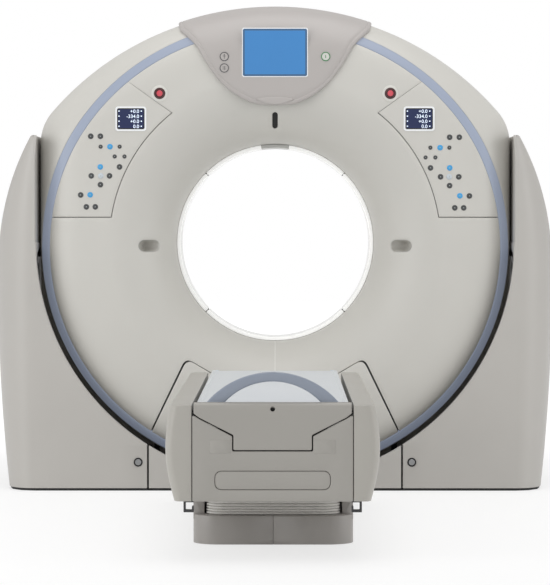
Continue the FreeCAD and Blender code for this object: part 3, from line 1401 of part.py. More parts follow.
def tee_corners(inset):
    """The near end's upper cover, seen from the front: a bar with a stem below its middle."""
    half, top = S.end_half - inset, S.top_z
    high, low = S.tee_top_z + inset, S.tee_stem_low + inset
    stem, neck = S.tee_stem_half - inset, S.tee_stem_top + inset
    knee_x = S.end_half - S.end_roll
    knee_z = S.tee_top_z - S.end_roll * 0.62 + inset
    right = [(half, top), (half, high), (knee_x, knee_z), (stem, neck), (stem, low)]
    return [(-x, z) for x, z in right] + list(reversed(right))


def end_covers():
    """The near end: a lower cover fixed to the couch and an upper one that travels with the tabletop."""
    lower = body("end_lower_body")
    sketch = sketch_on(lower, "end_lower_outline", "XZ", S.couch_reach)
    half, low = S.end_half, S.couch_bottom
    corners = [(-half, low), (half, low)] + list(reversed(tee_corners(0)[1:-1]))
    outline(sketch, corners)
    pad(lower, sketch, S.end_plate, True)
    window = sketch_on(lower, "access_window", "XZ", S.couch_reach)
    rectangle(window, (-S.access_half, S.access_low), (S.access_half, S.access_high))
    pocket(lower, window, S.end_plate)

    def window_corner(edge):
        middle = edge.BoundBox.Center
        near_x = abs(abs(middle.x) - float(S.access_half)) < 1
        near_z = float(S.access_low) - 1 < middle.z < float(S.access_high) + 1
        return runs_along(edge, Vector(0, 1, 0)) and near_x and near_z

    round_edges(lower, "access_window_round", S.access_round, window_corner)
    keep("end_cover_lower", lower, COUCH)

    plate = body("access_body")
    gap = S.seam / 2
    sketch = sketch_on(plate, "access_outline", "XZ", S.couch_reach)
    wide = S.access_half - gap
    rectangle(sketch, (-wide, S.access_low + gap), (wide, S.access_high - gap))
    pad(plate, sketch, S.end_plate, True)
    round_edges(plate, "access_corners", S.access_round - gap, lambda e: runs_along(e, Vector(0, 1, 0)))
    keep("end_access_plate", plate, COUCH)

    upper = body("end_upper_body")
    sketch = sketch_on(upper, "end_upper_outline", "XZ", S.couch_reach)
    outline(sketch, tee_corners(S.groove))
    pad(upper, sketch, S.end_block, True)
    front = -float(S.couch_reach)

    def top_edge(edge):
        box_of = edge.BoundBox
        level = abs(box_of.ZMin - float(S.top_z)) < 0.1 and abs(box_of.ZMax - float(S.top_z)) < 0.1
        return level and abs(box_of.YMax - front) < 0.1

    round_edges(upper, "end_upper_roll", S.end_roll, top_edge)
    hole = sketch_on(upper, "lock_hole", "XZ", S.couch_reach)
    circle(hole, (0, S.lock_z), S.lock_radius)
    pocket(upper, hole, S.lock_depth)
    keep("end_cover_upper", upper, COUCH)


def lower_pan():
    """The couch's lower cover, open over the base for the lift column, and the hooks under its near end."""
    half = S.end_half
    near, far = -S.couch_reach + S.end_plate, -S.couch_far
    plate = box("pan_plate", (-half, near, S.couch_bottom), (half, far, S.couch_bottom + S.pan_wall))
    long = S.column_length / 2 + S.pan_well
    wide = S.column_width / 2 + S.pan_well
    low, high = S.couch_bottom, S.couch_bottom + S.pan_wall
    well = box("pan_opening", (-wide, BASE_MID - long, low), (wide, BASE_MID + long, high))
    keep("lower_pan", cut("pan_cut", plate, [well]), COUCH)
    hooks = []
    strap, wide, low = S.hook_strap, S.hook_width, S.couch_bottom - S.hook_reach
    inner = S.end_half - S.hook_tuck
    outer = inner + wide
    for side, sign in SIDES:
        hook = body(f"{side}_hook_body")
        sketch = sketch_on(hook, f"{side}_hook_outline", "XZ", S.couch_reach - S.hook_place)
        corners = [
            (inner, S.couch_bottom),
            (inner, S.couch_bottom - strap),
            (outer - strap, S.couch_bottom - strap),
            (outer - strap, low + strap),
            (inner + strap, low + strap),
            (inner + strap, low + 3 * strap),
            (inner, low + 3 * strap),
            (inner, low),
            (outer, low),
            (outer, S.couch_bottom),
        ]
        if sign < 0:
            corners = [(-x, z) for x, z in reversed(corners)]
        outline(sketch, corners)
        pad(hook, sketch, S.hook_depth, True)
        hooks.append(hook)
    keep("hooks", group("hook_set", hooks), COUCH)


def top_form(name):
    """The tabletop's form: flat above, its underside a shallow belly."""
    top = body(name)
    near = S.couch_reach - S.end_block
    sketch = sketch_on(top, f"{name}_section", "XZ", near)
    half, edge_z = S.top_half, S.top_z - S.top_edge
    corners = ((-half, S.top_z), (-half, edge_z), (half, edge_z), (half, S.top_z))
    outline(sketch, corners, {1: arc_radius(2 * half, S.top_belly - S.top_edge)})
    pad(top, sketch, near - S.couch_far, True)
    return top


def tabletop():
    keep("tabletop", top_form("tabletop_body"), COUCH)
    arch_handle()
    runners()


def arch_handle():
    """The arch that stands across the tabletop's near end."""
    handle = body("handle_body")
    near, bar = S.couch_reach - S.handle_setback, S.handle_bar
    sketch = sketch_on(handle, "handle_arch", "XZ", near)
    out, inner = S.handle_half, S.handle_half - S.handle_foot
    outline(sketch, ((-out, S.top_z), (out, S.top_z)), {1: arc_radius(2 * out, S.handle_rise)})
    pad(handle, sketch, bar, True)
    hollow = sketch_on(handle, "handle_hollow", "XZ", near)
    arch = {1: arc_radius(2 * inner, S.handle_rise - bar)}
    outline(hollow, ((-inner, S.top_z), (inner, S.top_z)), arch)
    pocket(handle, hollow, bar, False)
    bevel_edges(handle, "handle_bevel", bar / 4, lambda e: isinstance(e.Curve, Part.Circle))
    keep("arch_handle", handle, COUCH)


def runners():
    """The four blocks under the tabletop that ride on the rails."""
    blocks = []
    middle, half_w = S.beam_inner + S.beam_width / 2, S.rail_width / 2
    low = S.beam_top + S.rail_height + S.runner_gap
    rail_near = -S.couch_reach + S.beam_near + S.rail_set
    rail_far = -S.couch_far - S.beam_far - S.rail_set
    first = rail_near + S.rail_end
    second = rail_far - S.rail_end / 2 - S.table_travel - S.runner_length
    for y in (first, second):
        for sign in (-1, 1):
            x = sign * middle
            start = (x - half_w, y, low)
            blocks.append(box("runner", start, (x + half_w, y + S.runner_length, S.top_z - S.top_edge)))
    keep("runners", cut("runner_cut", group("runner_blocks", blocks), [top_form("tabletop_tool")]), COUCH)


# ---------------------------------------------------------------- building and writing


def check(thing):
    if "Invalid" in thing.State or "Error" in thing.State:
        raise ValueError(f"{thing.Label} failed: {thing.State}")


def main():
    gantry_covers()
    emergency_buttons()
    floor_frame()
    pedestals()
    stand_covers()
    skirts()
    cover_latches()
    tilt_frame()
    rotor()
    couch_base()
    for number, node in enumerate(("column_outer", "column_middle", "column_inner")):
        stage(node, number)
    bellows()
    couch_frame()
    side_covers()
    end_covers()
    lower_pan()
    tabletop()
    doc.recompute()
    for thing in doc.Objects:
        check(thing)
    os.makedirs("parts", exist_ok=True)
    for thing in PIECES:
        shape = thing.Shape
        if shape.isNull() or not shape.isValid():
            raise ValueError(f"{thing.Label} has no valid shape")
        shape.exportStep(f"parts/{thing.Label}.step")
    print(len(PIECES), "sub-parts written")


main()
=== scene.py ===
"""The looks of the CT scanner: covers, displays, keys, bellows and couch, dressed over the frame."""

import logging
import math
from collections.abc import Callable, Iterable, Iterator, Sequence
from contextlib import contextmanager
from dataclasses import dataclass, field
from enum import Enum
from functools import cache

import bmesh
import bpy
import numpy as np
from mathutils import Matrix, Vector
from mathutils.geometry import delaunay_2d_cdt

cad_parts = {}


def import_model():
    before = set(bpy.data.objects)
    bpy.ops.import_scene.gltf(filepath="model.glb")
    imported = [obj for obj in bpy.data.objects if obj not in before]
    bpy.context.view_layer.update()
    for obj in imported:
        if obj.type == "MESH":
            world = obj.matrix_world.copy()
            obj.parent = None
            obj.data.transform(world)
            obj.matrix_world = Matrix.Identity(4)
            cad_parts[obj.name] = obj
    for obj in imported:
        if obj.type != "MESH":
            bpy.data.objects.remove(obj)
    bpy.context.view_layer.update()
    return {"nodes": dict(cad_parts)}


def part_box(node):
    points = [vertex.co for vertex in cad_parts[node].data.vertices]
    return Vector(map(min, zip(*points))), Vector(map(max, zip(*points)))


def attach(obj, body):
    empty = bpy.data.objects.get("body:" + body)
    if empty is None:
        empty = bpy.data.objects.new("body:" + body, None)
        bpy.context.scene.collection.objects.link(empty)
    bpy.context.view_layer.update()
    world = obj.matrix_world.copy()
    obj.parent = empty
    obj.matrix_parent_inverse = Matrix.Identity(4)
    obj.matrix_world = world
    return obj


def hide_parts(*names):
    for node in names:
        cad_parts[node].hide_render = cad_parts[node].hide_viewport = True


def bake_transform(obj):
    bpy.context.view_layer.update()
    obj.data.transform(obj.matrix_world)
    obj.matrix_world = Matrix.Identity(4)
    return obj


log = logging.getLogger("ct_scanner")

MM = 0.001
CLEAR_OF_EDGE = 0.6  # of a panel's spacing, kept free between its edge and its inner points
TO_FRONT = (0.0, -1.0, 0.0)
SLIVER = 0.04  # a triangle along the edge with less area than this times the spacing is left open
ROW_SHARE = 0.866  # of the spacing, between the rows of a three-way grid
Piece = bpy.types.Object
Socket = bpy.types.NodeSocket
Tree = bpy.types.NodeTree
Points = np.ndarray
Loop = np.ndarray
Lift = Callable[[Points], tuple[Points, Points]]
Pair = tuple[float, float]
Three = tuple[float, float, float]
Four = tuple[float, float, float, float]
Profile = Sequence[Pair]
Inputs = dict[str | int, object]


class Origin(Enum):
    """Where a piece's millimetres are counted from."""

    GANTRY = "the bore's centre"
    COUCH = "the floor below the bore's centre"


class End(Enum):
    """The two ends of the gantry's bore."""

    FRONT = -1
    REAR = 1


# ---- plane geometry


def around(loop: Loop, step: int = 1) -> Loop:
    """The loop's points moved on by a number of places."""
    return np.roll(loop, -step, axis=0)


def signed_area(loop: Loop) -> float:
    """The area inside a loop, positive when it runs anticlockwise."""
    after = around(loop)
    return float(np.sum(loop[:, 0] * after[:, 1] - after[:, 0] * loop[:, 1]) / 2)


def anticlockwise(loop: Loop) -> Loop:
    """The loop in anticlockwise order."""
    return loop if signed_area(loop) > 0 else loop[::-1].copy()


def resampled(loop: Loop, spacing: float) -> Loop:
    """A loop with points added on its long edges.

    Args:
        loop: The closed outline's corners.
        spacing: The longest edge allowed.

    Returns:
        The same outline with more points.
    """
    pieces = []
    for start, end in zip(loop, around(loop)):
        count = max(1, math.ceil(float(np.linalg.norm(end - start)) / spacing))
        share = np.arange(count)[:, None] / count
        pieces.append(start + (end - start) * share)
    return np.vstack(pieces)


def rounded(corners: Iterable[Pair], radius: float, steps: int = 6) -> Loop:
    """An outline whose corners are turned into arcs.

    Args:
        corners: The sharp corners in order.
        radius: The rounds' radius, less where an edge is short.
        steps: Points along each round.

    Returns:
        The rounded loop.
    """
    points = np.array(list(corners), float)
    result = []
    for i, point in enumerate(points):
        before, after = points[i - 1] - point, points[(i + 1) % len(points)] - point
        room = min(np.linalg.norm(before), np.linalg.norm(after)) * 0.45
        before, after = before / np.linalg.norm(before), after / np.linalg.norm(after)
        half = math.acos(float(np.clip(before @ after, -1, 1))) / 2
        if half > math.radians(85):
            result.append(point)
            continue
        reach = min(radius / math.tan(half), room)
        start, end = point + before * reach, point + after * reach
        for share in np.linspace(0, 1, steps + 1):
            result.append((1 - share) ** 2 * start + 2 * share * (1 - share) * point + share**2 * end)
    return np.array(result)


def circle(centre: Pair, radius: float, count: int = 48) -> Loop:
    """A round outline."""
    turn = np.arange(count) * 2 * math.pi / count
    return np.stack([centre[0] + radius * np.cos(turn), centre[1] + radius * np.sin(turn)], axis=1)


def stadium(centre: Pair, width: float, height: float, count: int = 12) -> Loop:
    """A slot's outline with round ends.

    Args:
        centre: Its middle.
        width: Its size across.
        height: Its size upwards.
        count: Points along each round end.

    Returns:
        The loop.
    """
    radius = min(width, height) / 2
    reach = max(width, height) / 2 - radius
    way = np.array([1.0, 0.0]) if width > height else np.array([0.0, 1.0])
    start = -math.pi / 2 if width > height else 0.0
    points = []
    for side in (0, 1):
        turn = start + side * math.pi + np.linspace(0, math.pi, count)
        ring = radius * np.stack([np.cos(turn), np.sin(turn)], axis=1)
        points.append(ring + way * reach * (1 - 2 * side))
    return np.vstack(points) + np.array(centre)


def unit(ways: Points) -> Points:
    """The directions given, each of length one."""
    return ways / np.maximum(np.linalg.norm(ways, axis=1, keepdims=True), 1e-9)


def rounded_rectangle(low: Pair, high: Pair, radius: float) -> Loop:
    """A rectangle with round corners."""
    return rounded([low, (high[0], low[1]), high, (low[0], high[1])], radius, 8)


def drawn_in(loop: Loop, distance: float) -> Loop:
    """An anticlockwise loop moved inwards, or outwards where the distance is negative.

    Args:
        loop: The loop.
        distance: How far its edges move.

    Returns:
        The moved loop, point for point.
    """
    before = loop - around(loop, -1)
    after = around(loop) - loop
    before, after = unit(before), unit(after)
    mean = unit(before + after)
    stretch = np.clip(np.sum(mean * before, axis=1, keepdims=True), 0.35, 1)
    inwards = np.stack([-mean[:, 1], mean[:, 0]], axis=1)
    return loop + inwards * distance / stretch


def inside(points: Points, loop: Loop) -> Points:
    """Whether each point lies inside a loop.

    Args:
        points: The points.
        loop: The closed loop.

    Returns:
        True for each point inside.
    """
    result = np.zeros(len(points), bool)
    for start, end in zip(loop, around(loop)):
        crosses = (start[1] > points[:, 1]) != (end[1] > points[:, 1])
        rise = end[1] - start[1]
        if abs(rise) < 1e-12:
            continue
        place = start[0] + (points[:, 1] - start[1]) * (end[0] - start[0]) / rise
        result ^= crosses & (points[:, 0] < place)
    return result


def distance_to(points: Points, loop: Loop) -> Points:
    """Each point's distance to a loop.

    Args:
        points: The points.
        loop: The closed loop.

    Returns:
        Each point's shortest distance to the loop's edges.
    """
    best = np.full(len(points), np.inf)
    for start, end in zip(loop, around(loop)):
        way = end - start
        length = max(float(way @ way), 1e-12)
        share = np.clip((points - start) @ way / length, 0, 1)
        gap = points - start - share[:, None] * way
        best = np.minimum(best, np.einsum("ij,ij->i", gap, gap))
    return np.sqrt(best)


def honeycomb(low: Points, high: Points, spacing: float) -> Points:
    """Points on a regular three-way grid over a rectangle.

    Args:
        low: The rectangle's lowest corner.
        high: Its highest corner.
        spacing: Distance between points in a row.

    Returns:
        The points.
    """
    rows = np.arange(low[1], high[1], spacing * ROW_SHARE)
    points = []
    for i, z in enumerate(rows):
        x = np.arange(low[0] + (i % 2) * spacing / 2, high[0], spacing)
        points.append(np.stack([x, np.full(len(x), z)], axis=1))
    return np.vstack(points)


def upright(loop: Loop, y: float | Points) -> Points:
    """Points in space of a loop given in X and Z, at one place along Y or one each."""
    return np.stack([loop[:, 0], np.broadcast_to(y, len(loop)), loop[:, 1]], axis=1)


def level(loop: Loop, z: float) -> Points:
    """Points in space of a loop given in X and Y, at one height."""
    return np.stack([loop[:, 0], loop[:, 1], np.full(len(loop), z)], axis=1)


# ---- finishes


def node_group(name: str, inputs: Sequence[tuple[str, float]], outputs: Sequence[str]) -> Tree:
    """An empty shader group with number inputs and outputs, and its two end nodes.

    Args:
        name: The group's name.
        inputs: Its number inputs with their values at rest.
        outputs: Its number outputs.

    Returns:
        The group.
    """
    tree = bpy.data.node_groups.new(name, "ShaderNodeTree")
    tree.interface.new_socket("Vector", in_out="INPUT", socket_type="NodeSocketVector")
    for label, value in inputs:
        socket = tree.interface.new_socket(label, in_out="INPUT", socket_type="NodeSocketFloat")
        socket.default_value = value
    for label in outputs:
        tree.interface.new_socket(label, in_out="OUTPUT", socket_type="NodeSocketFloat")
    tree.nodes.new("NodeGroupInput").name = "in"
    tree.nodes.new("NodeGroupOutput").name = "out"
    return tree


def feed(tree: Tree, node: bpy.types.Node, inputs: Inputs) -> None:
    """Sets a node's inputs to plain values, or links them to the sockets given.

    Args:
        tree: The node's tree.
        node: The node.
        inputs: What goes into its inputs, by name or number.
    """
    for place, value in inputs.items():
        if isinstance(value, Socket):
            tree.links.new(value, node.inputs[place])
        else:
            node.inputs[place].default_value = value


def add_node(tree: Tree, kind: str, inputs: Inputs | None = None, **settings: object) -> bpy.types.Node:
    """Adds a node to a tree.

    Args:
        tree: The tree.
        kind: The node's type.
        inputs: What goes into its inputs, by name or number.
        settings: Its other settings by name.

    Returns:
        The node.
    """
    node = tree.nodes.new(kind)
    for name, value in settings.items():
        setattr(node, name, value)
    feed(tree, node, inputs or {})
    return node


def maths(tree: Tree, operation: str, *inputs: float | Socket) -> Socket:
    """The result of a Math node fed with numbers or sockets."""
    return add_node(tree, "ShaderNodeMath", dict(enumerate(inputs)), operation=operation).outputs[0]


def noise(tree: Tree, vector: Socket, scale: float | Socket, detail: float) -> Socket:
    """The value of a Noise node."""
    inputs = {"Detail": detail, "Vector": vector, "Scale": scale}
    return add_node(tree, "ShaderNodeTexNoise", inputs).outputs["Fac"]


def surface_detail() -> Tree:
    """The group that all solid finishes share.

    Returns:
        A group that gives a slow shade, a patchy gloss and the height of a fine grain.
    """
    name = "surface detail"
    if name in bpy.data.node_groups:
        return bpy.data.node_groups[name]
    inputs = (("Grain Scale", 900), ("Shade", 0.02), ("Roughness", 0.4), ("Spread", 0.08))
    tree = node_group(name, inputs, ("Shade", "Roughness", "Height"))
    entry, out = tree.nodes["in"], tree.nodes["out"]
    vector = entry.outputs["Vector"]
    slow = noise(tree, vector, 2.3, 2)
    cloudy = noise(tree, vector, 9, 4)
    fine = noise(tree, vector, entry.outputs["Grain Scale"], 2)
    centred = maths(tree, "SUBTRACT", maths(tree, "ADD", slow, maths(tree, "MULTIPLY", cloudy, 0.5)), 0.75)
    shade = maths(tree, "ADD", 1, maths(tree, "MULTIPLY", centred, entry.outputs["Shade"]))
    patchy = maths(tree, "MULTIPLY", maths(tree, "SUBTRACT", cloudy, 0.5), entry.outputs["Spread"])
    specks = maths(tree, "MULTIPLY", maths(tree, "SUBTRACT", fine, 0.5), 0.06)
    rough = maths(tree, "ADD", entry.outputs["Roughness"], maths(tree, "ADD", patchy, specks))
    feed(tree, out, {"Shade": shade, "Roughness": rough, "Height": fine})
    return tree


def brushed_detail() -> Tree:
    """The group for turned and ground metal: fine lines across one axis.

    Returns:
        The group.
    """
    name = "brushed detail"
    if name in bpy.data.node_groups:
        return bpy.data.node_groups[name]
    tree = node_group(name, (("Roughness", 0.3), ("Spread", 0.2)), ("Roughness", "Height"))
    entry, out = tree.nodes["in"], tree.nodes["out"]
    lines = noise(tree, entry.outputs["Vector"], 60, 5)
    spread = maths(tree, "MULTIPLY", maths(tree, "SUBTRACT", lines, 0.5), entry.outputs["Spread"])
    feed(tree, out, {"Roughness": maths(tree, "ADD", entry.outputs["Roughness"], spread), "Height": lines})
    return tree


def linear(colour: Three) -> Four:
    """A colour as written, from display values of 0 to 255 to the values that light is worked out in."""
    shares = [value / 255 for value in colour]
    return (*[s / 12.92 if s <= 0.04045 else ((s + 0.055) / 1.055) ** 2.4 for s in shares], 1.0)


def material_named(
    name: str, colour: Three
) -> tuple[bpy.types.Material, Tree, bpy.types.Node, bool]:
    """A material of one name.

    Args:
        name: Its name.
        colour: Its colour in plain views, in display values.

    Returns:
        The material, its node tree, its shader and whether it is new.
    """
    new = name not in bpy.data.materials
    made = bpy.data.materials.new(name) if new else bpy.data.materials[name]
    if new:
        made.use_nodes = True
        made.diffuse_color = linear(colour)
    return made, made.node_tree, made.node_tree.nodes["Principled BSDF"], new


@dataclass(frozen=True)
class Finish:
    """A finish that several pieces share.

    Attributes:
        name: The material's name.
        colour: Its colour in display values.
        roughness: How dull it is.
        metallic: One for bare metal.
        shade: How much its tone drifts over the surface.
        spread: How much its gloss drifts.
        grain: The moulded grain's scale.
        bump: The grain's height, in metres.
        coat: The strength of a clear coat.
        glow: The strength of its own light, in its colour: real on the lit screen, readouts and keys, painted
            light on the trim ring and the bore liner.
    """

    name: str
    colour: Three
    roughness: float = 0.42
    metallic: float = 0.0
    shade: float = 0.05
    spread: float = 0.08
    grain: float = 900.0
    bump: float = 0.00004
    coat: float = 0.0
    glow: float = 0.0

    def material(self) -> bpy.types.Material:
        """The material, made when first asked for.

        Returns:
            The material.
        """
        made, tree, shader, new = material_named(self.name, self.colour)
        if not new:
            return made
        grain = {
            "Vector": add_node(tree, "ShaderNodeTexCoord").outputs["Object"],
            "Grain Scale": self.grain,
            "Shade": self.shade,
            "Roughness": self.roughness,
            "Spread": self.spread,
        }
        detail = add_node(tree, "ShaderNodeGroup", grain, node_tree=surface_detail()).outputs
        mixed = {0: linear(self.colour)[:3], 1: detail["Shade"]}
        tint = add_node(tree, "ShaderNodeVectorMath", mixed, operation="MULTIPLY").outputs[0]
        relief = {"Distance": self.bump, "Strength": 0.6, "Height": detail["Height"]}
        surface = {
            "Base Color": tint,
            "Roughness": detail["Roughness"],
            "Normal": add_node(tree, "ShaderNodeBump", relief).outputs["Normal"],
            "Metallic": self.metallic,
            "Coat Weight": self.coat,
            "Coat Roughness": 0.08,
        }
        if self.glow:
            surface |= {"Emission Strength": self.glow, "Emission Color": tint}
        feed(tree, shader, surface)
        return made


@dataclass(frozen=True)
class Brushed:
    """Bare metal with fine lines left by grinding or turning."""

    name: str
    colour: Three
    roughness: float = 0.32
    stretch: Three = (1.0, 40.0, 1.0)

    def material(self) -> bpy.types.Material:
        """The material, made when first asked for.

        Returns:
            The material.
        """
        made, tree, shader, new = material_named(self.name, self.colour)
        if not new:
            return made
        place = add_node(tree, "ShaderNodeTexCoord").outputs["Object"]
        mapping = add_node(tree, "ShaderNodeMapping", {"Scale": self.stretch, "Vector": place})
        drawn_out = mapping.outputs["Vector"]
        lines = {"Roughness": self.roughness, "Vector": drawn_out}
        detail = add_node(tree, "ShaderNodeGroup", lines, node_tree=brushed_detail()).outputs
        relief = {"Distance": 0.00003, "Height": detail["Height"]}
        surface = {
            "Base Color": linear(self.colour),
            "Roughness": detail["Roughness"],
            "Normal": add_node(tree, "ShaderNodeBump", relief).outputs["Normal"],
            "Metallic": 1.0,
        }
        feed(tree, shader, surface)
        return made


COVER = Finish("gantry cover, warm light grey", (201, 199, 193))
HOOD = Finish("console hood, warm grey", (177, 172, 169), roughness=0.38)
JOINT = Finish("cover joint, light", (226, 225, 221))
STAND = Finish("stand cover, grey", (184, 181, 176))
HANDLE = Finish("arch handle, blue grey", (140, 148, 162), roughness=0.36)
# The trim ring's glow is painted light: it brightens the ring evenly, also where its shoulder turns away from
# the lamps.
TRIM = Finish("trim ring, blue grey, painted light", (128, 136, 152), roughness=0.42, glow=0.56)
# The liner's glow is painted light, which keeps the inside of the bore bright white.
LINER = Finish("bore liner, white, painted light", (244, 244, 242), roughness=0.28, coat=0.3, glow=0.22)
LINER_WINDOW = Finish("liner window, smoky", (186, 186, 182), roughness=0.3)
# Near-black painted shade, set behind gaps and grooves and into hollows so that they read dark.
PAINTED_SHADE = Finish("painted shade in seams and hollows, dark", (22, 22, 24), roughness=0.7)
FRAME_WHITE = Finish("display frame, white", (238, 240, 242), roughness=0.35)
SCREEN = Finish("console screen, lit blue", (58, 124, 184), roughness=0.5, glow=0.14, shade=0.1, bump=0.0)
SCREEN_EDGE = Finish("console screen's edge, blue", (62, 100, 136), roughness=0.4)
READOUT = Finish("panel readout, navy", (14, 30, 74), roughness=0.5, glow=0.08, bump=0.0)
READOUT_EDGE = Finish("panel readout's edge, black", (14, 15, 18), roughness=0.3)
DIGITS = Finish("readout digits, pale", (214, 226, 240), roughness=0.3, glow=0.8)
PRINT = Finish("printed marks, dark", (92, 92, 94), roughness=0.5)
PALE = Finish("printed marks' ground, pale", (206, 206, 200), roughness=0.4)
GREEN = Finish("round mark's ring, green", (52, 128, 74), roughness=0.4)
KEY_DARK = Finish("keys, slate", (62, 64, 65), roughness=0.4, coat=0.15)
KEY_BLUE = Finish("keys, lit blue", (60, 146, 198), roughness=0.3, glow=0.18)
KEY_UNLIT = Finish("keys, pale", (196, 204, 210), roughness=0.35)
KEY_MARK = Finish("keys' signs, light", (168, 172, 172), roughness=0.4)
COLLAR_LIGHT = Finish("button collar's flange, light", (216, 214, 208), roughness=0.35)
COLLAR_DARK = Finish("button collar, oxblood", (70, 18, 22), roughness=0.3, coat=0.3)
RED = Finish("emergency button, red", (206, 62, 78), roughness=0.28, coat=0.5)
GLASS = Finish("laser window, black", (6, 6, 7), roughness=0.5, bump=0.0)
COUCH = Finish("couch cover, grey", (172, 169, 162))
COUCH_END = Finish("couch end cover, grey", (162, 159, 153))
BASE = Finish("couch base, mid grey", (162, 158, 154))
TOP = Finish("tabletop, pale blue white", (208, 214, 220), roughness=0.3, coat=0.25)
BELLOWS = Finish("bellows, coated cloth", (222, 220, 216), roughness=0.62, grain=1600, bump=0.00012)
STEEL = Finish(
    "frame steel, painted grey", (108, 112, 118), roughness=0.45, grain=300, bump=0.0001, spread=0.14
)
HOUSING = Finish("rotor housings, painted", (134, 138, 142), roughness=0.4, grain=400)
CASTING = Finish("rotor casting", (166, 168, 170), roughness=0.44, metallic=0.9, grain=500, bump=0.0001)
IRON = Finish("cast iron", (74, 74, 76), roughness=0.62, metallic=0.6, grain=260, bump=0.0003)
# The floor frame's near black is painted shade: the gap under the stand covers reads as a shadow line.
FOOT = Finish("floor frame, painted shade black", (14, 14, 15), roughness=0.6)
DARK = Finish("insulator, moulded dark", (50, 50, 54), roughness=0.5)
HOOK = Finish("hooks, black enamel", (44, 44, 46), roughness=0.4, coat=0.2)
GROUND = Brushed("bearing steel, ground", (168, 169, 172))
FOLDED = Brushed("detector aluminium, brushed", (160, 164, 168), roughness=0.38, stretch=(40.0, 1.0, 1.0))
LATCH = Brushed("latch, turned aluminium", (146, 147, 148), roughness=0.34, stretch=(12.0, 1.0, 12.0))
Look = Finish | Brushed


# ---- meshes


def linked(name: str, data: bpy.types.ID) -> Piece:
    """A new object in the scene with the data given.

    Args:
        name: The object's name.
        data: Its mesh, curve, light or camera.

    Returns:
        The object.
    """
    made = bpy.data.objects.new(name, data)
    bpy.context.scene.collection.objects.link(made)
    return made


@contextmanager
def edited(mesh: bpy.types.Mesh) -> Iterator[bmesh.types.BMesh]:
    """Opens a mesh for editing and writes it back at the end.

    Args:
        mesh: The mesh.

    Returns:
        The mesh as it is being edited.
    """
    work = bmesh.new()
    work.from_mesh(mesh)
    yield work
    work.to_mesh(mesh)
    work.free()


@cache
def place_of(origin: Origin) -> Vector:
    """The origin of a piece's millimetres, in the frame's metres.

    Args:
        origin: Which origin.

    Returns:
        Its place.
    """
    low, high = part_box("bore_liner")
    middle = (Vector(low) + Vector(high)) / 2
    return middle if origin is Origin.GANTRY else Vector((middle.x, middle.y, 0))


def new_object(
    name: str,
    points: Points,
    faces: Sequence[Sequence[int]],
    finish: Look,
    origin: Origin = Origin.GANTRY,
    merge: float = 0.01,
) -> Piece:
    """A mesh piece from points in millimetres.

    Args:
        name: The piece's name.
        points: The points, counted from the origin named.
        faces: The corners of each face.
        finish: Its finish.
        origin: Its millimetres' origin.
        merge: Points nearer than this are joined.

    Returns:
        The object, linked to the scene.
    """
    mesh = bpy.data.meshes.new(name)
    shift = np.array(place_of(origin))
    mesh.from_pydata((np.asarray(points) * MM + shift).tolist(), [], [list(face) for face in faces])
    with edited(mesh) as work:
        bmesh.ops.remove_doubles(work, verts=work.verts, dist=merge * MM)
        bmesh.ops.recalc_face_normals(work, faces=work.faces)
    mesh.materials.append(finish.material())
    piece = linked(name, mesh)
    smooth(piece)
    return piece


def smooth(piece: Piece, angle: float = 40) -> None:
    """Shades a piece smooth, with sharp edges past an angle in degrees.

    Args:
        piece: The piece.
        angle: Edges that bend more than this stay sharp.
    """
    piece.data.shade_smooth()
    with edited(piece.data) as work:
        for edge in work.edges:
            if len(edge.link_faces) == 2 and edge.calc_face_angle(0) > math.radians(angle):
                edge.smooth = False


def turned_towards(piece: Piece, way: Sequence[float]) -> None:
    """Turns an open piece's faces over if most of them look away from a direction.

    Args:
        piece: The piece.
        way: The direction its faces look in.
    """
    mesh = piece.data
    total = sum((face.normal * face.area for face in mesh.polygons), Vector())
    if total.dot(Vector(way)) < 0:
        mesh.flip_normals()


def applied(piece: Piece) -> Piece:
    """Turns a piece with modifiers into a plain mesh.

    Args:
        piece: The piece.

    Returns:
        The same piece without modifiers.
    """
    graph = bpy.context.evaluated_depsgraph_get()
    graph.update()
    shown = piece.evaluated_get(graph)
    mesh = bpy.data.meshes.new_from_object(shown, preserve_all_data_layers=True, depsgraph=graph)
    piece.modifiers.clear()
    old = piece.data
    piece.data = mesh
    mesh.name = piece.name
    bpy.data.meshes.remove(old)
    return piece


def strip(first: Sequence[int], second: Sequence[int], closed: bool = True) -> list[tuple[int, ...]]:
    """The four-sided faces between two rows of points."""
    turns = [(i, (i + 1) % len(first)) for i in range(len(first) if closed else len(first) - 1)]
    return [(first[i], first[j], second[j], second[i]) for i, j in turns]


def grid_faces(rows: int, columns: int, closed: bool) -> list[tuple[int, ...]]:
    """The faces of a grid of points stored row by row."""
    spans = [range(row * columns, (row + 1) * columns) for row in range(rows)]
    return [face for first, second in zip(spans, spans[1:]) for face in strip(first, second, closed)]


def skin(
    name: str,
    rows: Sequence[Points],
    finish: Look,
    origin: Origin = Origin.GANTRY,
    closed: bool = True,
    caps: bool = False,
) -> Piece:
    """A piece from a grid of points.

    Args:
        name: The piece's name.
        rows: Rows of points in millimetres, all of one length.
        finish: Its finish.
        origin: Its millimetres' origin.
        closed: Whether each row runs back to its start.
        caps: Whether the first and last rows are filled.

    Returns:
        The object.
    """
    count, columns = len(rows), len(rows[0])
    faces = grid_faces(count, columns, closed)
    if caps:
        faces += [tuple(range(columns)), tuple(range((count - 1) * columns, count * columns))]
    return new_object(name, np.vstack(rows), faces, finish, origin)


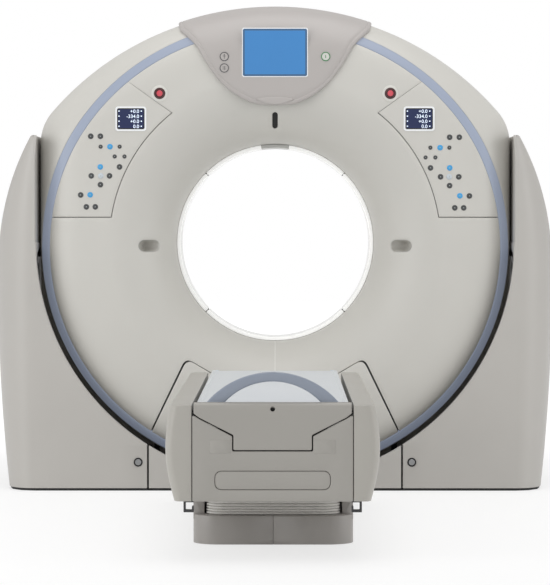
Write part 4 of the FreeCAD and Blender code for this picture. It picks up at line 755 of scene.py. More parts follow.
def joined(name: str, parts: Sequence[Piece]) -> Piece:
    """One object from several, with their materials kept.

    Args:
        name: The new object's name.
        parts: The pieces, which are deleted.

    Returns:
        The object.
    """
    work = bmesh.new()
    materials: list[bpy.types.Material] = []
    for part in parts:
        start = len(work.faces)
        work.from_mesh(part.data)
        work.faces.ensure_lookup_table()
        for i in range(start, len(work.faces)):
            material = part.data.materials[work.faces[i].material_index]
            if material not in materials:
                materials.append(material)
            work.faces[i].material_index = materials.index(material)
    mesh = bpy.data.meshes.new(name)
    work.to_mesh(mesh)
    work.free()
    for material in materials:
        mesh.materials.append(material)
    for part in parts:
        bpy.data.meshes.remove(part.data)
    return linked(name, mesh)


def mirrored(piece: Piece, name: str) -> Piece:
    """A copy of a piece for the other side of the scanner.

    Args:
        piece: The piece.
        name: The copy's name.

    Returns:
        The copy.
    """
    mesh = piece.data.copy()
    mesh.name = name
    mesh.transform(Matrix.Scale(-1, 4, Vector((1, 0, 0))))
    mesh.flip_normals()
    return linked(name, mesh)


def kept_inside(piece: Piece, tool: Piece) -> None:
    """Keeps what of a closed piece lies inside a closed tool, which is deleted.

    Args:
        piece: The piece.
        tool: The tool.
    """
    modifier = piece.modifiers.new("cut", "BOOLEAN")
    modifier.operation = "INTERSECT"
    modifier.solver = "EXACT"
    modifier.object = tool
    applied(piece)
    bpy.data.meshes.remove(tool.data)


def block(
    name: str, low: Sequence[float], high: Sequence[float], finish: Look, origin: Origin = Origin.GANTRY
) -> Piece:
    """A plain block.

    Args:
        name: Its name.
        low: Its lowest corner.
        high: Its highest corner.
        finish: Its finish.
        origin: Its millimetres' origin.

    Returns:
        The block.
    """
    corners = [(x, y, z) for x in (low[0], high[0]) for y in (low[1], high[1]) for z in (low[2], high[2])]
    faces = [(0, 1, 3, 2), (4, 6, 7, 5), (0, 4, 5, 1), (2, 3, 7, 6), (0, 2, 6, 4), (1, 5, 7, 3)]
    return new_object(name, np.array(corners, float), faces, finish, origin)


@dataclass
class Patch:
    """A thin moulded panel that follows a surface inside an outline.

    Attributes:
        outline: Its outer loop, in the surface's own two coordinates.
        lift: Gives each point's place and outward normal.
        profile: Its edge from outside inwards: pairs of distance in from the outline and depth.
        holes: Loops left open.
        spacing: Distance between the points inside.
    """

    outline: Loop
    lift: Lift
    profile: Profile
    holes: Sequence[Loop] = ()
    spacing: float = 14.0
    points: list[Points] = field(default_factory=list)
    faces: list[tuple[int, ...]] = field(default_factory=list)

    def add(self, flat: Points, depth: float) -> list[int]:
        """Adds points a depth below the surface and gives their numbers.

        Args:
            flat: Flat coordinates.
            depth: How far below the surface.

        Returns:
            The points' numbers.
        """
        start = sum(len(rows) for rows in self.points)
        place, normal = self.lift(flat)
        self.points.append(place - normal * depth)
        return list(range(start, start + len(flat)))

    def rim(self, loop: Loop) -> tuple[Loop, list[int]]:
        """Builds the edge round one loop and gives its innermost row.

        Args:
            loop: The loop.

        Returns:
            The innermost row and the numbers of its points.
        """
        before: list[int] = []
        row = loop
        for distance, depth in self.profile:
            row = drawn_in(loop, distance)
            numbers = self.add(row, depth)
            if before:
                self.faces += strip(before, numbers)
            before = numbers
        return row, before

    def build(self, name: str, finish: Look, origin: Origin = Origin.GANTRY) -> Piece:
        """Makes the panel.

        Args:
            name: The piece's name.
            finish: Its finish.
            origin: Its millimetres' origin.

        Returns:
            The object, open at its back.
        """
        step, depth = self.spacing, self.profile[-1][1]
        outer = anticlockwise(resampled(self.outline, step))
        loops = [outer] + [anticlockwise(resampled(hole, step))[::-1].copy() for hole in self.holes]
        rows = [self.rim(loop) for loop in loops]
        flat = honeycomb(outer.min(axis=0), outer.max(axis=0), step)
        keep = inside(flat, rows[0][0]) & (distance_to(flat, rows[0][0]) > step * CLEAR_OF_EDGE)
        for row, _ in rows[1:]:
            keep &= ~inside(flat, row) & (distance_to(flat, row) > step * CLEAR_OF_EDGE)
        flat = flat[keep]
        edges, border = [], []
        count = 0
        for row, numbers in rows:
            edges += [(count + i, count + (i + 1) % len(row)) for i in range(len(row))]
            border += numbers
            count += len(row)
        every = [Vector(point) for row in [row for row, _ in rows] + [flat] for point in row]
        numbers = border + self.add(flat, depth)
        places, _, triangles, sources, *_ = delaunay_2d_cdt(every, edges, [], 0, 1e-6)
        known = [numbers[source[0]] if source else None for source in sources]
        for i, number in enumerate(known):
            if number is None:
                known[i] = self.add(np.array([places[i]]), depth)[0]
        on_edge = [bool(source) and source[0] < count for source in sources]
        along_edge = np.array([all(on_edge[i] for i in triangle) for triangle in triangles])
        corners = np.array([[places[i] for i in triangle] for triangle in triangles], float)
        sides = corners[:, 1:] - corners[:, :1]
        area = np.abs(sides[:, 0, 0] * sides[:, 1, 1] - sides[:, 0, 1] * sides[:, 1, 0]) / 2
        middles = corners.mean(axis=1)
        wanted = inside(middles, rows[0][0]) & ~(along_edge & (area < step * SLIVER))
        for row, _ in rows[1:]:
            wanted &= ~inside(middles, row)
        self.faces += [tuple(known[i] for i in tri) for tri, want in zip(triangles, wanted) if want]
        piece = new_object(name, np.vstack(self.points), self.faces, finish, origin)
        _, normal = self.lift(flat if len(flat) else outer)
        turned_towards(piece, normal.mean(axis=0))
        return piece


def edge_profile(bevel: float, depth: float) -> Profile:
    """A panel's edge: a skirt of some depth and a small round."""
    return ((0, bevel + depth), (0, bevel), (bevel * 0.3, bevel * 0.3), (bevel, 0))


def plane_lift(y: float) -> Lift:
    """A flat upright surface at one place along the bore, which looks to the front."""
    return lambda flat: (upright(flat, y), np.tile(TO_FRONT, (len(flat), 1)))


def lathe(
    name: str,
    profile: Iterable[Pair],
    centre: Sequence[float],
    finish: Look,
    origin: Origin = Origin.GANTRY,
    count: int = 48,
) -> Piece:
    """A piece turned about an axis along Y.

    Args:
        name: The piece's name.
        profile: Pairs of radius and distance along Y from the centre.
        centre: The axis' place.
        finish: Its finish.
        origin: Its millimetres' origin.
        count: Points round the axis.

    Returns:
        The object.
    """
    rows = [upright(circle((0, 0), radius, count), y) + np.array(centre, float) for radius, y in profile]
    return skin(name, rows, finish, origin)


# ---- the tilting body's form


@dataclass(frozen=True)
class TiltingForm:
    """The form that all the gantry's moulded covers share, in millimetres from the bore's centre.

    The flat coordinates are X and Z as seen from the front, except inside the funnel's crease, where
    the radius is stretched to follow the flare's own length.
    """

    side_half: float = 959
    corner: float = 200
    dome: float = 1204
    dome_top: float = 950
    rim_half: float = 205
    shoulder: float = 190
    front_face: float = 380
    rear_face: float = 420
    lip: float = 405
    lip_depth: float = 120
    crease: float = 678
    flare_turn: float = math.radians(81.4)
    flat_lip: float = 270

    @property
    def dome_centre(self) -> float:
        """The dome's centre, upwards from the bore's centre."""
        return self.dome_top - self.dome

    @property
    def corner_centre(self) -> Pair:
        """The centre of the round between side and dome."""
        x = self.side_half - self.corner
        return x, self.dome_centre + math.sqrt((self.dome - self.corner) ** 2 - x * x)

    @property
    def flare(self) -> float:
        """The flare's reach across, were it to turn a full quarter."""
        return (self.crease - self.lip) / (1 - math.cos(self.flare_turn))

    def face(self, end: End) -> float:
        """The face's distance from the bore's centre."""
        return self.front_face if end is End.FRONT else self.rear_face

    def depth(self, x: Points, z: Points) -> Points:
        """How far inside the outline each point lies.

        Args:
            x: Places across.
            z: Places upwards.

        Returns:
            The depths, below zero outside.
        """
        side = self.side_half - np.abs(x)
        dome = self.dome - np.hypot(x, z - self.dome_centre)
        result = np.where(z >= 0, np.minimum(side, dome), self.side_half - np.hypot(x, z))
        corner_x, corner_z = self.corner_centre
        across, up = np.abs(x) - corner_x, z - corner_z
        lean = math.atan2(corner_z - self.dome_centre, corner_x)
        angle = np.arctan2(up, across)
        wedge = (across > 0) & (up > 0) & (angle < lean)
        return np.where(wedge, self.corner - np.hypot(across, up), result)

    def flattened(self, points: Loop) -> Loop:
        """Flat coordinates of points given in X and Z.

        Args:
            points: The points.

        Returns:
            Their flat coordinates.
        """
        radius = np.hypot(points[:, 0], points[:, 1])
        inner = np.clip((radius - self.lip) / self.flare, 0, 1)
        turn = np.arccos(1 - inner)
        flat = self.flat_lip + (self.crease - self.flat_lip) * turn / self.flare_turn
        scale = np.where(radius < self.crease, flat / np.maximum(radius, 1), 1)
        return points * scale[:, None]

    def surface(self, flat: Points, end: End) -> Points:
        """The outer surface's points at flat coordinates.

        Args:
            flat: Flat coordinates.
            end: Which end.

        Returns:
            The points.
        """
        radius = np.hypot(flat[:, 0], flat[:, 1])
        share = np.clip((radius - self.flat_lip) / (self.crease - self.flat_lip), -0.02, 1)
        turn = share * self.flare_turn
        along = (self.face(end) - self.lip_depth) / math.sin(self.flare_turn)
        throat = self.lip + self.flare * (1 - np.cos(turn))
        funnel = radius < self.crease
        scale = np.where(funnel, throat / np.maximum(radius, 1), 1)
        x, z = flat[:, 0] * scale, flat[:, 1] * scale
        inset = np.clip(self.depth(x, z), 0, self.shoulder)
        bulge = np.sqrt(1 - ((self.shoulder - inset) / self.shoulder) ** 2)
        outer = self.rim_half + (self.face(end) - self.rim_half) * bulge
        y = np.where(funnel, self.lip_depth + along * np.sin(turn), outer)
        return np.stack([x, end.value * y, z], axis=1)

    def lift(self, end: End) -> Lift:
        """The surface of one end with its outward normals.

        Args:
            end: Which end.

        Returns:
            The surface's points and normals at flat coordinates.
        """

        def lifted(flat: Points) -> tuple[Points, Points]:
            """The points at flat coordinates and their normals, from small steps across and upwards.

            Args:
                flat: Flat coordinates.

            Returns:
                The points and the normals.
            """
            step = 0.5
            place = self.surface(flat, end)
            across = self.surface(flat + [step, 0], end) - self.surface(flat - [step, 0], end)
            upwards = self.surface(flat + [0, step], end) - self.surface(flat - [0, step], end)
            normal = np.cross(across, upwards)
            normal *= np.where(normal[:, 1:2] * end.value < 0, -1, 1)
            return place, unit(normal)

        return lifted

    def outline(self, count: int = 360) -> tuple[Loop, Loop]:
        """Points round the outline and the direction inwards at each, both in X and Z.

        Args:
            count: About how many points.

        Returns:
            The points and the directions.
        """
        corner_x, corner_z = self.corner_centre
        lean = math.atan2(corner_z - self.dome_centre, corner_x)
        half = count // 2

        def arc(x: float, z: float, radius: float, turns: Pair, steps: int) -> list[tuple]:
            """Points along an arc and the way to its centre at each."""
            ways = [(math.cos(t), math.sin(t)) for t in np.linspace(*turns, steps, endpoint=False)]
            return [(x + radius * u, z + radius * v, -u, -v) for u, v in ways]

        rows = arc(0, 0, self.side_half, (-math.pi / 2, 0), half // 2)
        rows += [(self.side_half, z, -1, 0) for z in np.linspace(0, corner_z, half // 8, endpoint=False)]
        rows += arc(corner_x, corner_z, self.corner, (0, lean), half // 8)
        rows += arc(0, self.dome_centre, self.dome, (lean, math.pi / 2), half // 4)
        right = np.array(rows)
        left = right[::-1] * [-1, 1, -1, 1]
        top = np.array([[0, self.dome_top, 0, -1]])
        every = np.vstack([right, top, left[:-1]])
        return every[:, :2], every[:, 2:]


FORM = TiltingForm()
SEAM = 0.8
SLOT = (495, 22, 66)  # the upper opening's height over the bore's centre, its width and its height
SCOOP = (510, -13, 84, 48)  # the right recess: its place in X and Z, its width and its height
ESTOP = (465, 602)  # the right emergency button's place in X and Z


@dataclass(frozen=True)
class RingLine:
    """The ellipse along which the trim ring runs."""

    half_width: float = 952
    half_height: float = 925
    centre: float = -26
    band: float = 37

    def loop(self, inset: float, count: int = 400) -> Loop:
        """The ellipse drawn in by a distance."""
        reach = [self.half_width - inset, self.half_height - inset]
        return circle((0, 0), 1, count) * reach + [0, self.centre]

    def reach(self, start: Loop, way: Loop, inset: float) -> Points:
        """How far from each start, in its direction, the ellipse lies.

        Args:
            start: Points outside the ellipse.
            way: The direction at each.
            inset: How far the ellipse is drawn in.

        Returns:
            The distances.
        """
        wide, tall = self.half_width - inset, self.half_height - inset
        x, z = start[:, 0] / wide, (start[:, 1] - self.centre) / tall
        u, v = way[:, 0] / wide, way[:, 1] / tall
        a, b, c = u * u + v * v, 2 * (x * u + z * v), x * x + z * z - 1
        return (-b - np.sqrt(np.maximum(b * b - 4 * a * c, 0))) / (2 * a)


RING = RingLine()


def crossing_points(first: Loop, second: Loop) -> tuple[Loop, Loop]:
    """Both loops with a point added wherever they cross.

    Args:
        first: One loop.
        second: The other.

    Returns:
        Both loops.
    """
    added_first: dict[int, list[tuple[float, Points]]] = {}
    added_second: dict[int, list[tuple[float, Points]]] = {}
    ways = around(second) - second
    for i, (start, end) in enumerate(zip(first, around(first))):
        way = end - start
        cross = way[0] * ways[:, 1] - way[1] * ways[:, 0]
        safe = np.where(np.abs(cross) < 1e-12, 1e-12, cross)
        gap = second - start
        along = (gap[:, 0] * ways[:, 1] - gap[:, 1] * ways[:, 0]) / safe
        other = (gap[:, 0] * way[1] - gap[:, 1] * way[0]) / safe
        meets = (np.abs(cross) > 1e-9) & (along >= 0) & (along < 1) & (other >= 0) & (other < 1)
        for j in np.nonzero(meets)[0]:
            point = start + way * along[j]
            added_first.setdefault(i, []).append((along[j], point))
            added_second.setdefault(int(j), []).append((other[j], point))

    def filled(loop: Loop, added: dict[int, list[tuple[float, Points]]]) -> Loop:
        """One loop with its crossings set in between its own points.

        Args:
            loop: The loop.
            added: The crossings on each edge, with how far along it they lie.

        Returns:
            The fuller loop.
        """
        points = []
        for i, point in enumerate(loop):
            points.append(point)
            points += [extra for _, extra in sorted(added.get(i, []), key=lambda pair: pair[0])]
        return np.array(points)

    return filled(first, added_first), filled(second, added_second)


def run_where(loop: Loop, chosen: Points) -> Loop:
    """The one stretch of a loop's points that are chosen, in order.

    Args:
        loop: The loop.
        chosen: Whether each of its points is chosen.

    Returns:
        The longest such stretch.
    """
    starts = [i for i in range(len(loop)) if chosen[i] and not chosen[i - 1]]
    if not starts:
        return loop
    best: list[int] = []
    for start in starts:
        run = []
        i = start
        while chosen[i % len(loop)] and len(run) < len(loop):
            run.append(i % len(loop))
            i += 1
        best = max(best, run, key=len)
    return loop[best]


def trimmed(first: Loop, second: Loop, common: bool) -> Loop:
    """What one loop encloses inside or outside another, which crosses it twice.

    Args:
        first: The loop that is trimmed.
        second: The loop that trims it.
        common: Whether the part inside the second loop stays, or the part outside it.

    Returns:
        The trimmed loop.
    """
    first, second = crossing_points(anticlockwise(first), anticlockwise(second))
    near_first, near_second = distance_to(first, second) < 1e-6, distance_to(second, first) < 1e-6
    own = run_where(first, (inside(first, second) == common) | near_first)
    other = run_where(second, inside(second, first) | near_second)
    return np.vstack([own, (other if common else other[::-1])[1:-1]])


# ---- the gantry's covers


@dataclass
class TiltingCovers:
    """The moulded covers of the tilting body, in millimetres from the bore's centre."""

    panel_inner: float = 668
    panel_low: float = 103
    panel_tip: Pair = (409, 516)
    panel_top: Pair = (600, 652)
    dock_foot: Pair = (508, -777)
    dock_shoulder: Pair = (358, -468)
    dock_notch: Pair = (150, -590)
    dock_round: float = 30
    estop_hole: float = 23.4
    bevel: float = 1.8
    seam: float = 2.6

    def panel(self, side: int, gap: float = 0) -> Loop:
        """A control panel's outline, left wide where the ring trims it.

        Args:
            side: -1 for the left panel, 1 for the right.
            gap: How far its edges move outwards from the bore.

        Returns:
            The outline.
        """
        x, z = self.panel_tip[0] + gap, self.panel_tip[1]
        slope = (self.panel_top[1] - z) / (self.panel_top[0] - x)
        radius, foot = self.panel_inner + gap, self.panel_low + gap
        start, end = math.asin(foot / radius), math.atan2(z, x)
        turn = np.linspace(start, end, 40)
        arc = radius * np.stack([np.cos(turn), np.sin(turn)], axis=1)
        arc[0, 1] = foot
        far = 1000.0
        corners = [(far, arc[-1][1] + slope * (far - arc[-1][0]) - gap), (far, foot)]
        return np.vstack([arc, corners]) * [side, 1]

    def dock(self, gap: float = 0) -> Loop:
        """The docking panel's outline, its foot left for the ring to trim.

        Args:
            gap: How far its edges are drawn in.

        Returns:
            The outline.
        """
        foot_x, foot_z = self.dock_foot
        top_x, top_z = self.dock_shoulder
        notch_x, notch_z = self.dock_notch
        lean = (foot_x - top_x) / (top_z - foot_z)
        deep = 300
        half = [(foot_x + lean * deep - gap, foot_z - deep), (top_x - gap, top_z - gap)]
        half += [(notch_x, notch_z - gap)]
        corners = [(-x, z) for x, z in half] + [(x, z) for x, z in reversed(half)]
        return rounded(corners, self.dock_round, 6)

    def edge(self) -> Profile:
        """The moulded edge of a cover beside a seam."""
        return edge_profile(self.bevel, 8)

    def flat(self, loop: Loop, spacing: float = 5) -> Loop:
        """A loop given in X and Z, in the form's flat coordinates."""
        return FORM.flattened(resampled(loop, spacing))

    def front_holes(self) -> list[Loop]:
        """The openings in the front cover that are closed loops.

        Returns:
            The openings in flat coordinates.
        """
        (slot_z, *slot), (scoop_x, scoop_z, *scoop) = SLOT, SCOOP
        holes = [stadium((0, slot_z), *slot), circle((0, 0), FORM.lip, 160)]
        for side in (-1, 1):
            holes.append(circle((side * ESTOP[0], ESTOP[1]), self.estop_hole, 32))
            holes.append(stadium((side * scoop_x, scoop_z), *scoop))
        return [self.flat(hole, 8) for hole in holes]

    def build_joint(self) -> None:
        """The fine upright joint of the front cover, below the bore."""
        low, high = self.dock_notch[1] + 4, -FORM.lip - 2
        line = resampled(np.array([(-1.2, low), (1.2, low), (1.2, high), (-1.2, high)]), 6)
        bead = Patch(FORM.flattened(line), FORM.lift(End.FRONT), ((0, 0.4), (0, -0.2), (0.4, -0.6)), (), 6)
        settle(bead.build("front_cover_bead", JOINT), "gantry", "gantry_cover")

    def build_front(self) -> None:
        """The front cover with the panels let into it."""
        limit = RING.loop(RING.band + SEAM)
        body = limit
        for side in (-1, 1):
            body = trimmed(body, resampled(self.panel(side, -self.seam / 2), 6), False)
        body = trimmed(body, resampled(self.dock(-self.seam), 6), False)
        panels = [
            ("front_cover", "front_cover_skin", body, self.front_holes()),
            ("left_control_panel", "left_panel_skin", self.panel(-1, self.seam / 2), ()),
            ("right_control_panel", "right_panel_skin", self.panel(1, self.seam / 2), ()),
            ("docking_panel", "docking_panel_skin", self.dock(self.seam), ()),
        ]
        for node, name, loop, holes in panels:
            outline = loop if loop is body else trimmed(limit, resampled(loop, 6), True)
            panel = Patch(self.flat(outline), FORM.lift(End.FRONT), self.edge(), holes, 15)
            settle(panel.build(name, COVER), "gantry", "gantry_cover", node)

    def build_rear(self) -> None:
        """The rear cover, in one piece round the bore."""
        outline = self.flat(RING.loop(SEAM))
        hole = self.flat(circle((0, 0), FORM.lip, 160), 12)
        rear = Patch(outline, FORM.lift(End.REAR), self.edge(), [hole], 20)
        settle(rear.build("rear_cover_skin", COVER), "gantry", "gantry_cover", "rear_cover")

    def build_ring(self) -> None:
        """The coloured band that runs round the front in one ellipse."""
        low, high = SEAM, RING.band
        bevel = 2.2
        insets = [(low, 9), (low, bevel), (low + 0.3 * bevel, 0.3 * bevel), (low + bevel, 0)]
        insets += [(low + (high - low) * share, 0) for share in (0.25, 0.5, 0.75)]
        insets += [(high - bevel, 0), (high - 0.3 * bevel, 0.3 * bevel), (high, bevel), (high, 9)]
        lifted = [(*FORM.lift(End.FRONT)(RING.loop(inset, 480)), depth) for inset, depth in insets]
        rows = [place - normal * depth for place, normal, depth in lifted]
        ring = skin("trim_ring_band", rows, TRIM)
        settle(ring, "gantry", "trim", "trim_ring")

    def rim_rows(self) -> list[Points]:
        """The rim cover's rows, from the front ring over the rim to the rear ring.

        Returns:
            Rows of points in space.
        """
        start, way = FORM.outline()
        reach = RING.reach(start, way, 0)
        rows = []
        for end in (End.FRONT, End.REAR):
            across = FORM.shoulder
            half = []
            for share in np.linspace(1, 0, 14):
                turn = np.arccos(1 - reach / across) * share
                inset = across * (1 - np.cos(turn))
                along = FORM.rim_half + (FORM.face(end) - FORM.rim_half) * np.sin(turn)
                flat = start + way * inset[:, None]
                half.append(upright(flat, end.value * along))
            turn = np.arccos(1 - reach / across)
            slope = upright(way * np.cos(turn)[:, None], -end.value * np.sin(turn))
            half = [half[0] + slope * 8, half[0] + slope * self.bevel] + half[1:]
            rows.append(half if end is End.FRONT else half[::-1])
        middle = [upright(start, y) for y in np.linspace(-FORM.rim_half, FORM.rim_half, 7)[1:-1]]
        return rows[0] + middle + rows[1]

    def build_rim(self) -> None:
        """The cover round the tilting body's rim."""
        rim = skin("rim_cover_skin", self.rim_rows(), COVER)
        settle(rim, "gantry", "gantry_cover", "rim_cover")

    def build(self) -> None:
        """All the tilting body's covers."""
        self.build_front()
        self.build_joint()
        self.build_rear()
        self.build_ring()
        self.build_rim()
        log.info("tilting covers built")


def settle(piece: Piece, body: str, slot: str, *nodes: str) -> Piece:
    """Hands a finished piece over: what it rides on and the nodes it stands for.

    Args:
        piece: The piece.
        body: The body it rides on.
        slot: Its material's slot; not used.
        *nodes: The nodes it stands for.

    Returns:
        The same piece.
    """
    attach(piece, body)
    if nodes:
        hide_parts(*nodes)
    log.info("%s: %d faces", piece.name, len(piece.data.polygons))
    return piece


@dataclass
class Console:
    """The raised hood at the gantry's head with its screen and round marks."""

    rise: float = 14
    corner: Pair = (388, 874)
    tip: float = 554
    back: float = 60
    screen: Three = (266, 198, 766)
    marks: tuple[Pair, ...] = ((-204, 749.5), (-204, 703.5), (204, 749.5))
    mark_radius: float = 18.5
    signs: tuple[tuple[Four, ...], ...] = (
        ((0, -2, 1.8, 14), (0, 2, 12, 1.8), (0, 7, 4, 4)),
        ((0, 4, 14, 1.8), (0, -4, 14, 1.8), (0, 0, 1.8, 15)),
        ((0, 0, 2.6, 12),),
    )

    def roll(self, flat: Points) -> Points:
        """Points of the hood's top at flat coordinates.

        Args:
            flat: Places along the dome's arc, and along the section over the rim.

        Returns:
            The points in space.
        """
        across, along = FORM.shoulder + self.rise, FORM.front_face - FORM.rim_half + self.rise
        quarter = self.quarter
        turn = np.clip(flat[:, 1] / quarter, 0, 1) * math.pi / 2
        inset = np.where(flat[:, 1] < 0, FORM.shoulder - flat[:, 1], FORM.shoulder - across * np.sin(turn))
        y = -FORM.rim_half - along * np.cos(turn)
        y = np.where(flat[:, 1] > quarter, flat[:, 1] - quarter - FORM.rim_half, y)
        y = np.where(flat[:, 1] < 0, -FORM.rim_half - along, y)
        radius = FORM.dome - inset
        angle = flat[:, 0] / FORM.dome
        return np.stack([radius * np.sin(angle), y, FORM.dome_centre + radius * np.cos(angle)], axis=1)

    @property
    def quarter(self) -> float:
        """The length of the hood's bend over the shoulder."""
        return (FORM.shoulder + FORM.front_face - FORM.rim_half + 2 * self.rise) / 2 * math.pi / 2

    def lift(self, flat: Points) -> tuple[Points, Points]:
        """The hood's surface and its outward normals.

        Args:
            flat: Flat coordinates.

        Returns:
            The points and normals.
        """
        step = 0.5
        across = self.roll(flat + [step, 0]) - self.roll(flat - [step, 0])
        along = self.roll(flat + [0, step]) - self.roll(flat - [0, step])
        normal = np.cross(along, across)
        normal *= np.where(normal[:, 1:2] - normal[:, 2:3] > 0, -1, 1)
        return self.roll(flat), unit(normal)

    def flattened(self, points: Loop) -> Loop:
        """Flat coordinates of points given in X and Z on the front.

        Args:
            points: The points.

        Returns:
            Their flat coordinates.
        """
        up = points[:, 1] - FORM.dome_centre
        inset = FORM.dome - np.hypot(points[:, 0], up)
        share = np.clip((FORM.shoulder - inset) / (FORM.shoulder + self.rise), 0, 1)
        bend = np.arcsin(share) / (math.pi / 2) * self.quarter
        along = np.where(inset > FORM.shoulder, FORM.shoulder - inset, bend)
        return np.stack([np.arctan2(points[:, 0], up) * FORM.dome, along], axis=1)

    def outline(self) -> Loop:
        """The hood's shield outline in flat coordinates.

        Returns:
            The outline.
        """
        corner_x, corner_z = self.corner
        span = corner_z - self.tip
        shares = ((0.245, 0.032), (0.51, 0.225), (0.68, 0.47), (0.81, 0.74), (0.9, 0.865), (0.985, 0.965))
        middle = [(corner_x * across, self.tip + span * up) for across, up in shares]
        knots = [(0, self.tip)] + middle + [(corner_x, corner_z)]
        line = smooth_line([(-x, z) for x, z in reversed(knots[1:])] + knots, 5)
        lower = self.flattened(line)
        edge = float(lower[-1][0])
        back = self.quarter + FORM.rim_half + self.back
        side = [(edge, (lower[-1][1] + back) / 2), (edge, back - 26), (edge - 8, back - 8), (edge - 26, back)]
        return np.vstack([lower, side, [(-x, s) for x, s in reversed(side)]])

    def build_hood(self) -> None:
        """The hood's moulded shell, with the fine step that follows its edge and the lip at its tip."""
        profile = [(0, self.rise + 3), (0, 9), (1, 5.2), (3.2, 2.4), (7, 0.6), (12, 0)]
        profile += [(15, 0), (16.5, 1.3), (19, 1.3), (21, 0.3)]
        hood = Patch(resampled(self.outline(), 8), self.lift, profile, (), 15)
        lip_points = [(-73, 580), (0, 588), (73, 580), (46, 565), (0, 557), (-46, 565)]
        lip_edge = ((0, 1), (0, -2.6), (1.2, -3.8), (3.5, -4.2))
        lip = Patch(self.flattened(smooth_loop(lip_points, 6)), self.lift, lip_edge, (), 10)
        parts = [hood.build("console_hood_shell", HOOD), lip.build("hood_lip", HOOD)]
        settle(joined("console_hood_skin", parts), "gantry", "gantry_cover", "console_hood")

    def build_screen(self) -> None:
        """The screen: a white rounded frame, a darker line and the lit face."""
        width, height, centre = self.screen
        face = -FORM.front_face - self.rise
        layers = ((0, 1.0, FRAME_WHITE), (3.5, 1.5, SCREEN_EDGE), (11, 1.9, SCREEN))
        parts = []
        for inset, proud, finish in layers:
            low = (-width / 2 + inset, centre - height / 2 + inset)
            high = (width / 2 - inset, centre + height / 2 - inset)
            loop = rounded_rectangle(low, high, max(9 - inset * 0.6, 2.5))
            layer = Patch(loop, plane_lift(face - proud), ((0, 3 + proud), (0, 0.6), (0.6, 0)), (), 60)
            parts.append(layer.build(f"screen_{inset}", finish))
        settle(joined("console_screen_front", parts), "gantry", "screen", "console_screen")

    def build_marks(self) -> None:
        """The round marks beside the screen: thin rings with a plain sign inside."""
        face = -FORM.front_face - self.rise
        parts = []
        for i, (x, z) in enumerate(self.marks):
            ring = GREEN if i == 2 else PRINT
            radius = self.mark_radius
            disc = ((0.1, -1.2), (radius - 3, -1.2), (radius - 3, 1))
            band = [(radius - 3.4, 0.5), (radius - 3.4, -1.8), (radius - 0.4, -1.8)]
            band += [(radius, -1.2), (radius, 1)]
            parts.append(lathe(f"mark_disc_{i}", disc, (x, face, z), PALE if i == 2 else HOOD, count=40))
            parts.append(lathe(f"mark_ring_{i}", band, (x, face, z), ring, count=40))
            for dx, dz, wide, tall in self.signs[i]:
                low = (x + dx - wide / 2, face - 1.7, z + dz - tall / 2)
                parts.append(block(f"mark_sign_{i}", low, (low[0] + wide, face - 0.5, low[2] + tall), ring))
        settle(joined("console_mark_rings", parts), "gantry", "mark", "console_marks")

    def build(self) -> None:
        """The hood, the screen and the marks."""
        self.build_hood()
        self.build_screen()
        self.build_marks()


def smooth_line(points: Sequence[Pair], steps: int) -> Loop:
    """A line through points, rounded between them.

    Args:
        points: The points.
        steps: Points from each to the next.

    Returns:
        The line.
    """
    given = np.array(points, float)
    padded = np.vstack([2 * given[0] - given[1], given, 2 * given[-1] - given[-2]])
    result = []
    for i in range(1, len(padded) - 2):
        a, b, c, d = padded[i - 1 : i + 3]
        for t in np.linspace(0, 1, steps, endpoint=False):
            curve = 2 * b + (c - a) * t + (2 * a - 5 * b + 4 * c - d) * t * t + (3 * b - a - 3 * c + d) * t**3
            result.append(curve / 2)
    result.append(given[-1])
    return np.array(result)


def smooth_loop(points: Sequence[Pair], steps: int) -> Loop:
    """A closed line through points, rounded between them."""
    line = smooth_line(list(points) + list(points[:3]), steps)
    return anticlockwise(line[steps : steps * (len(points) + 1)])


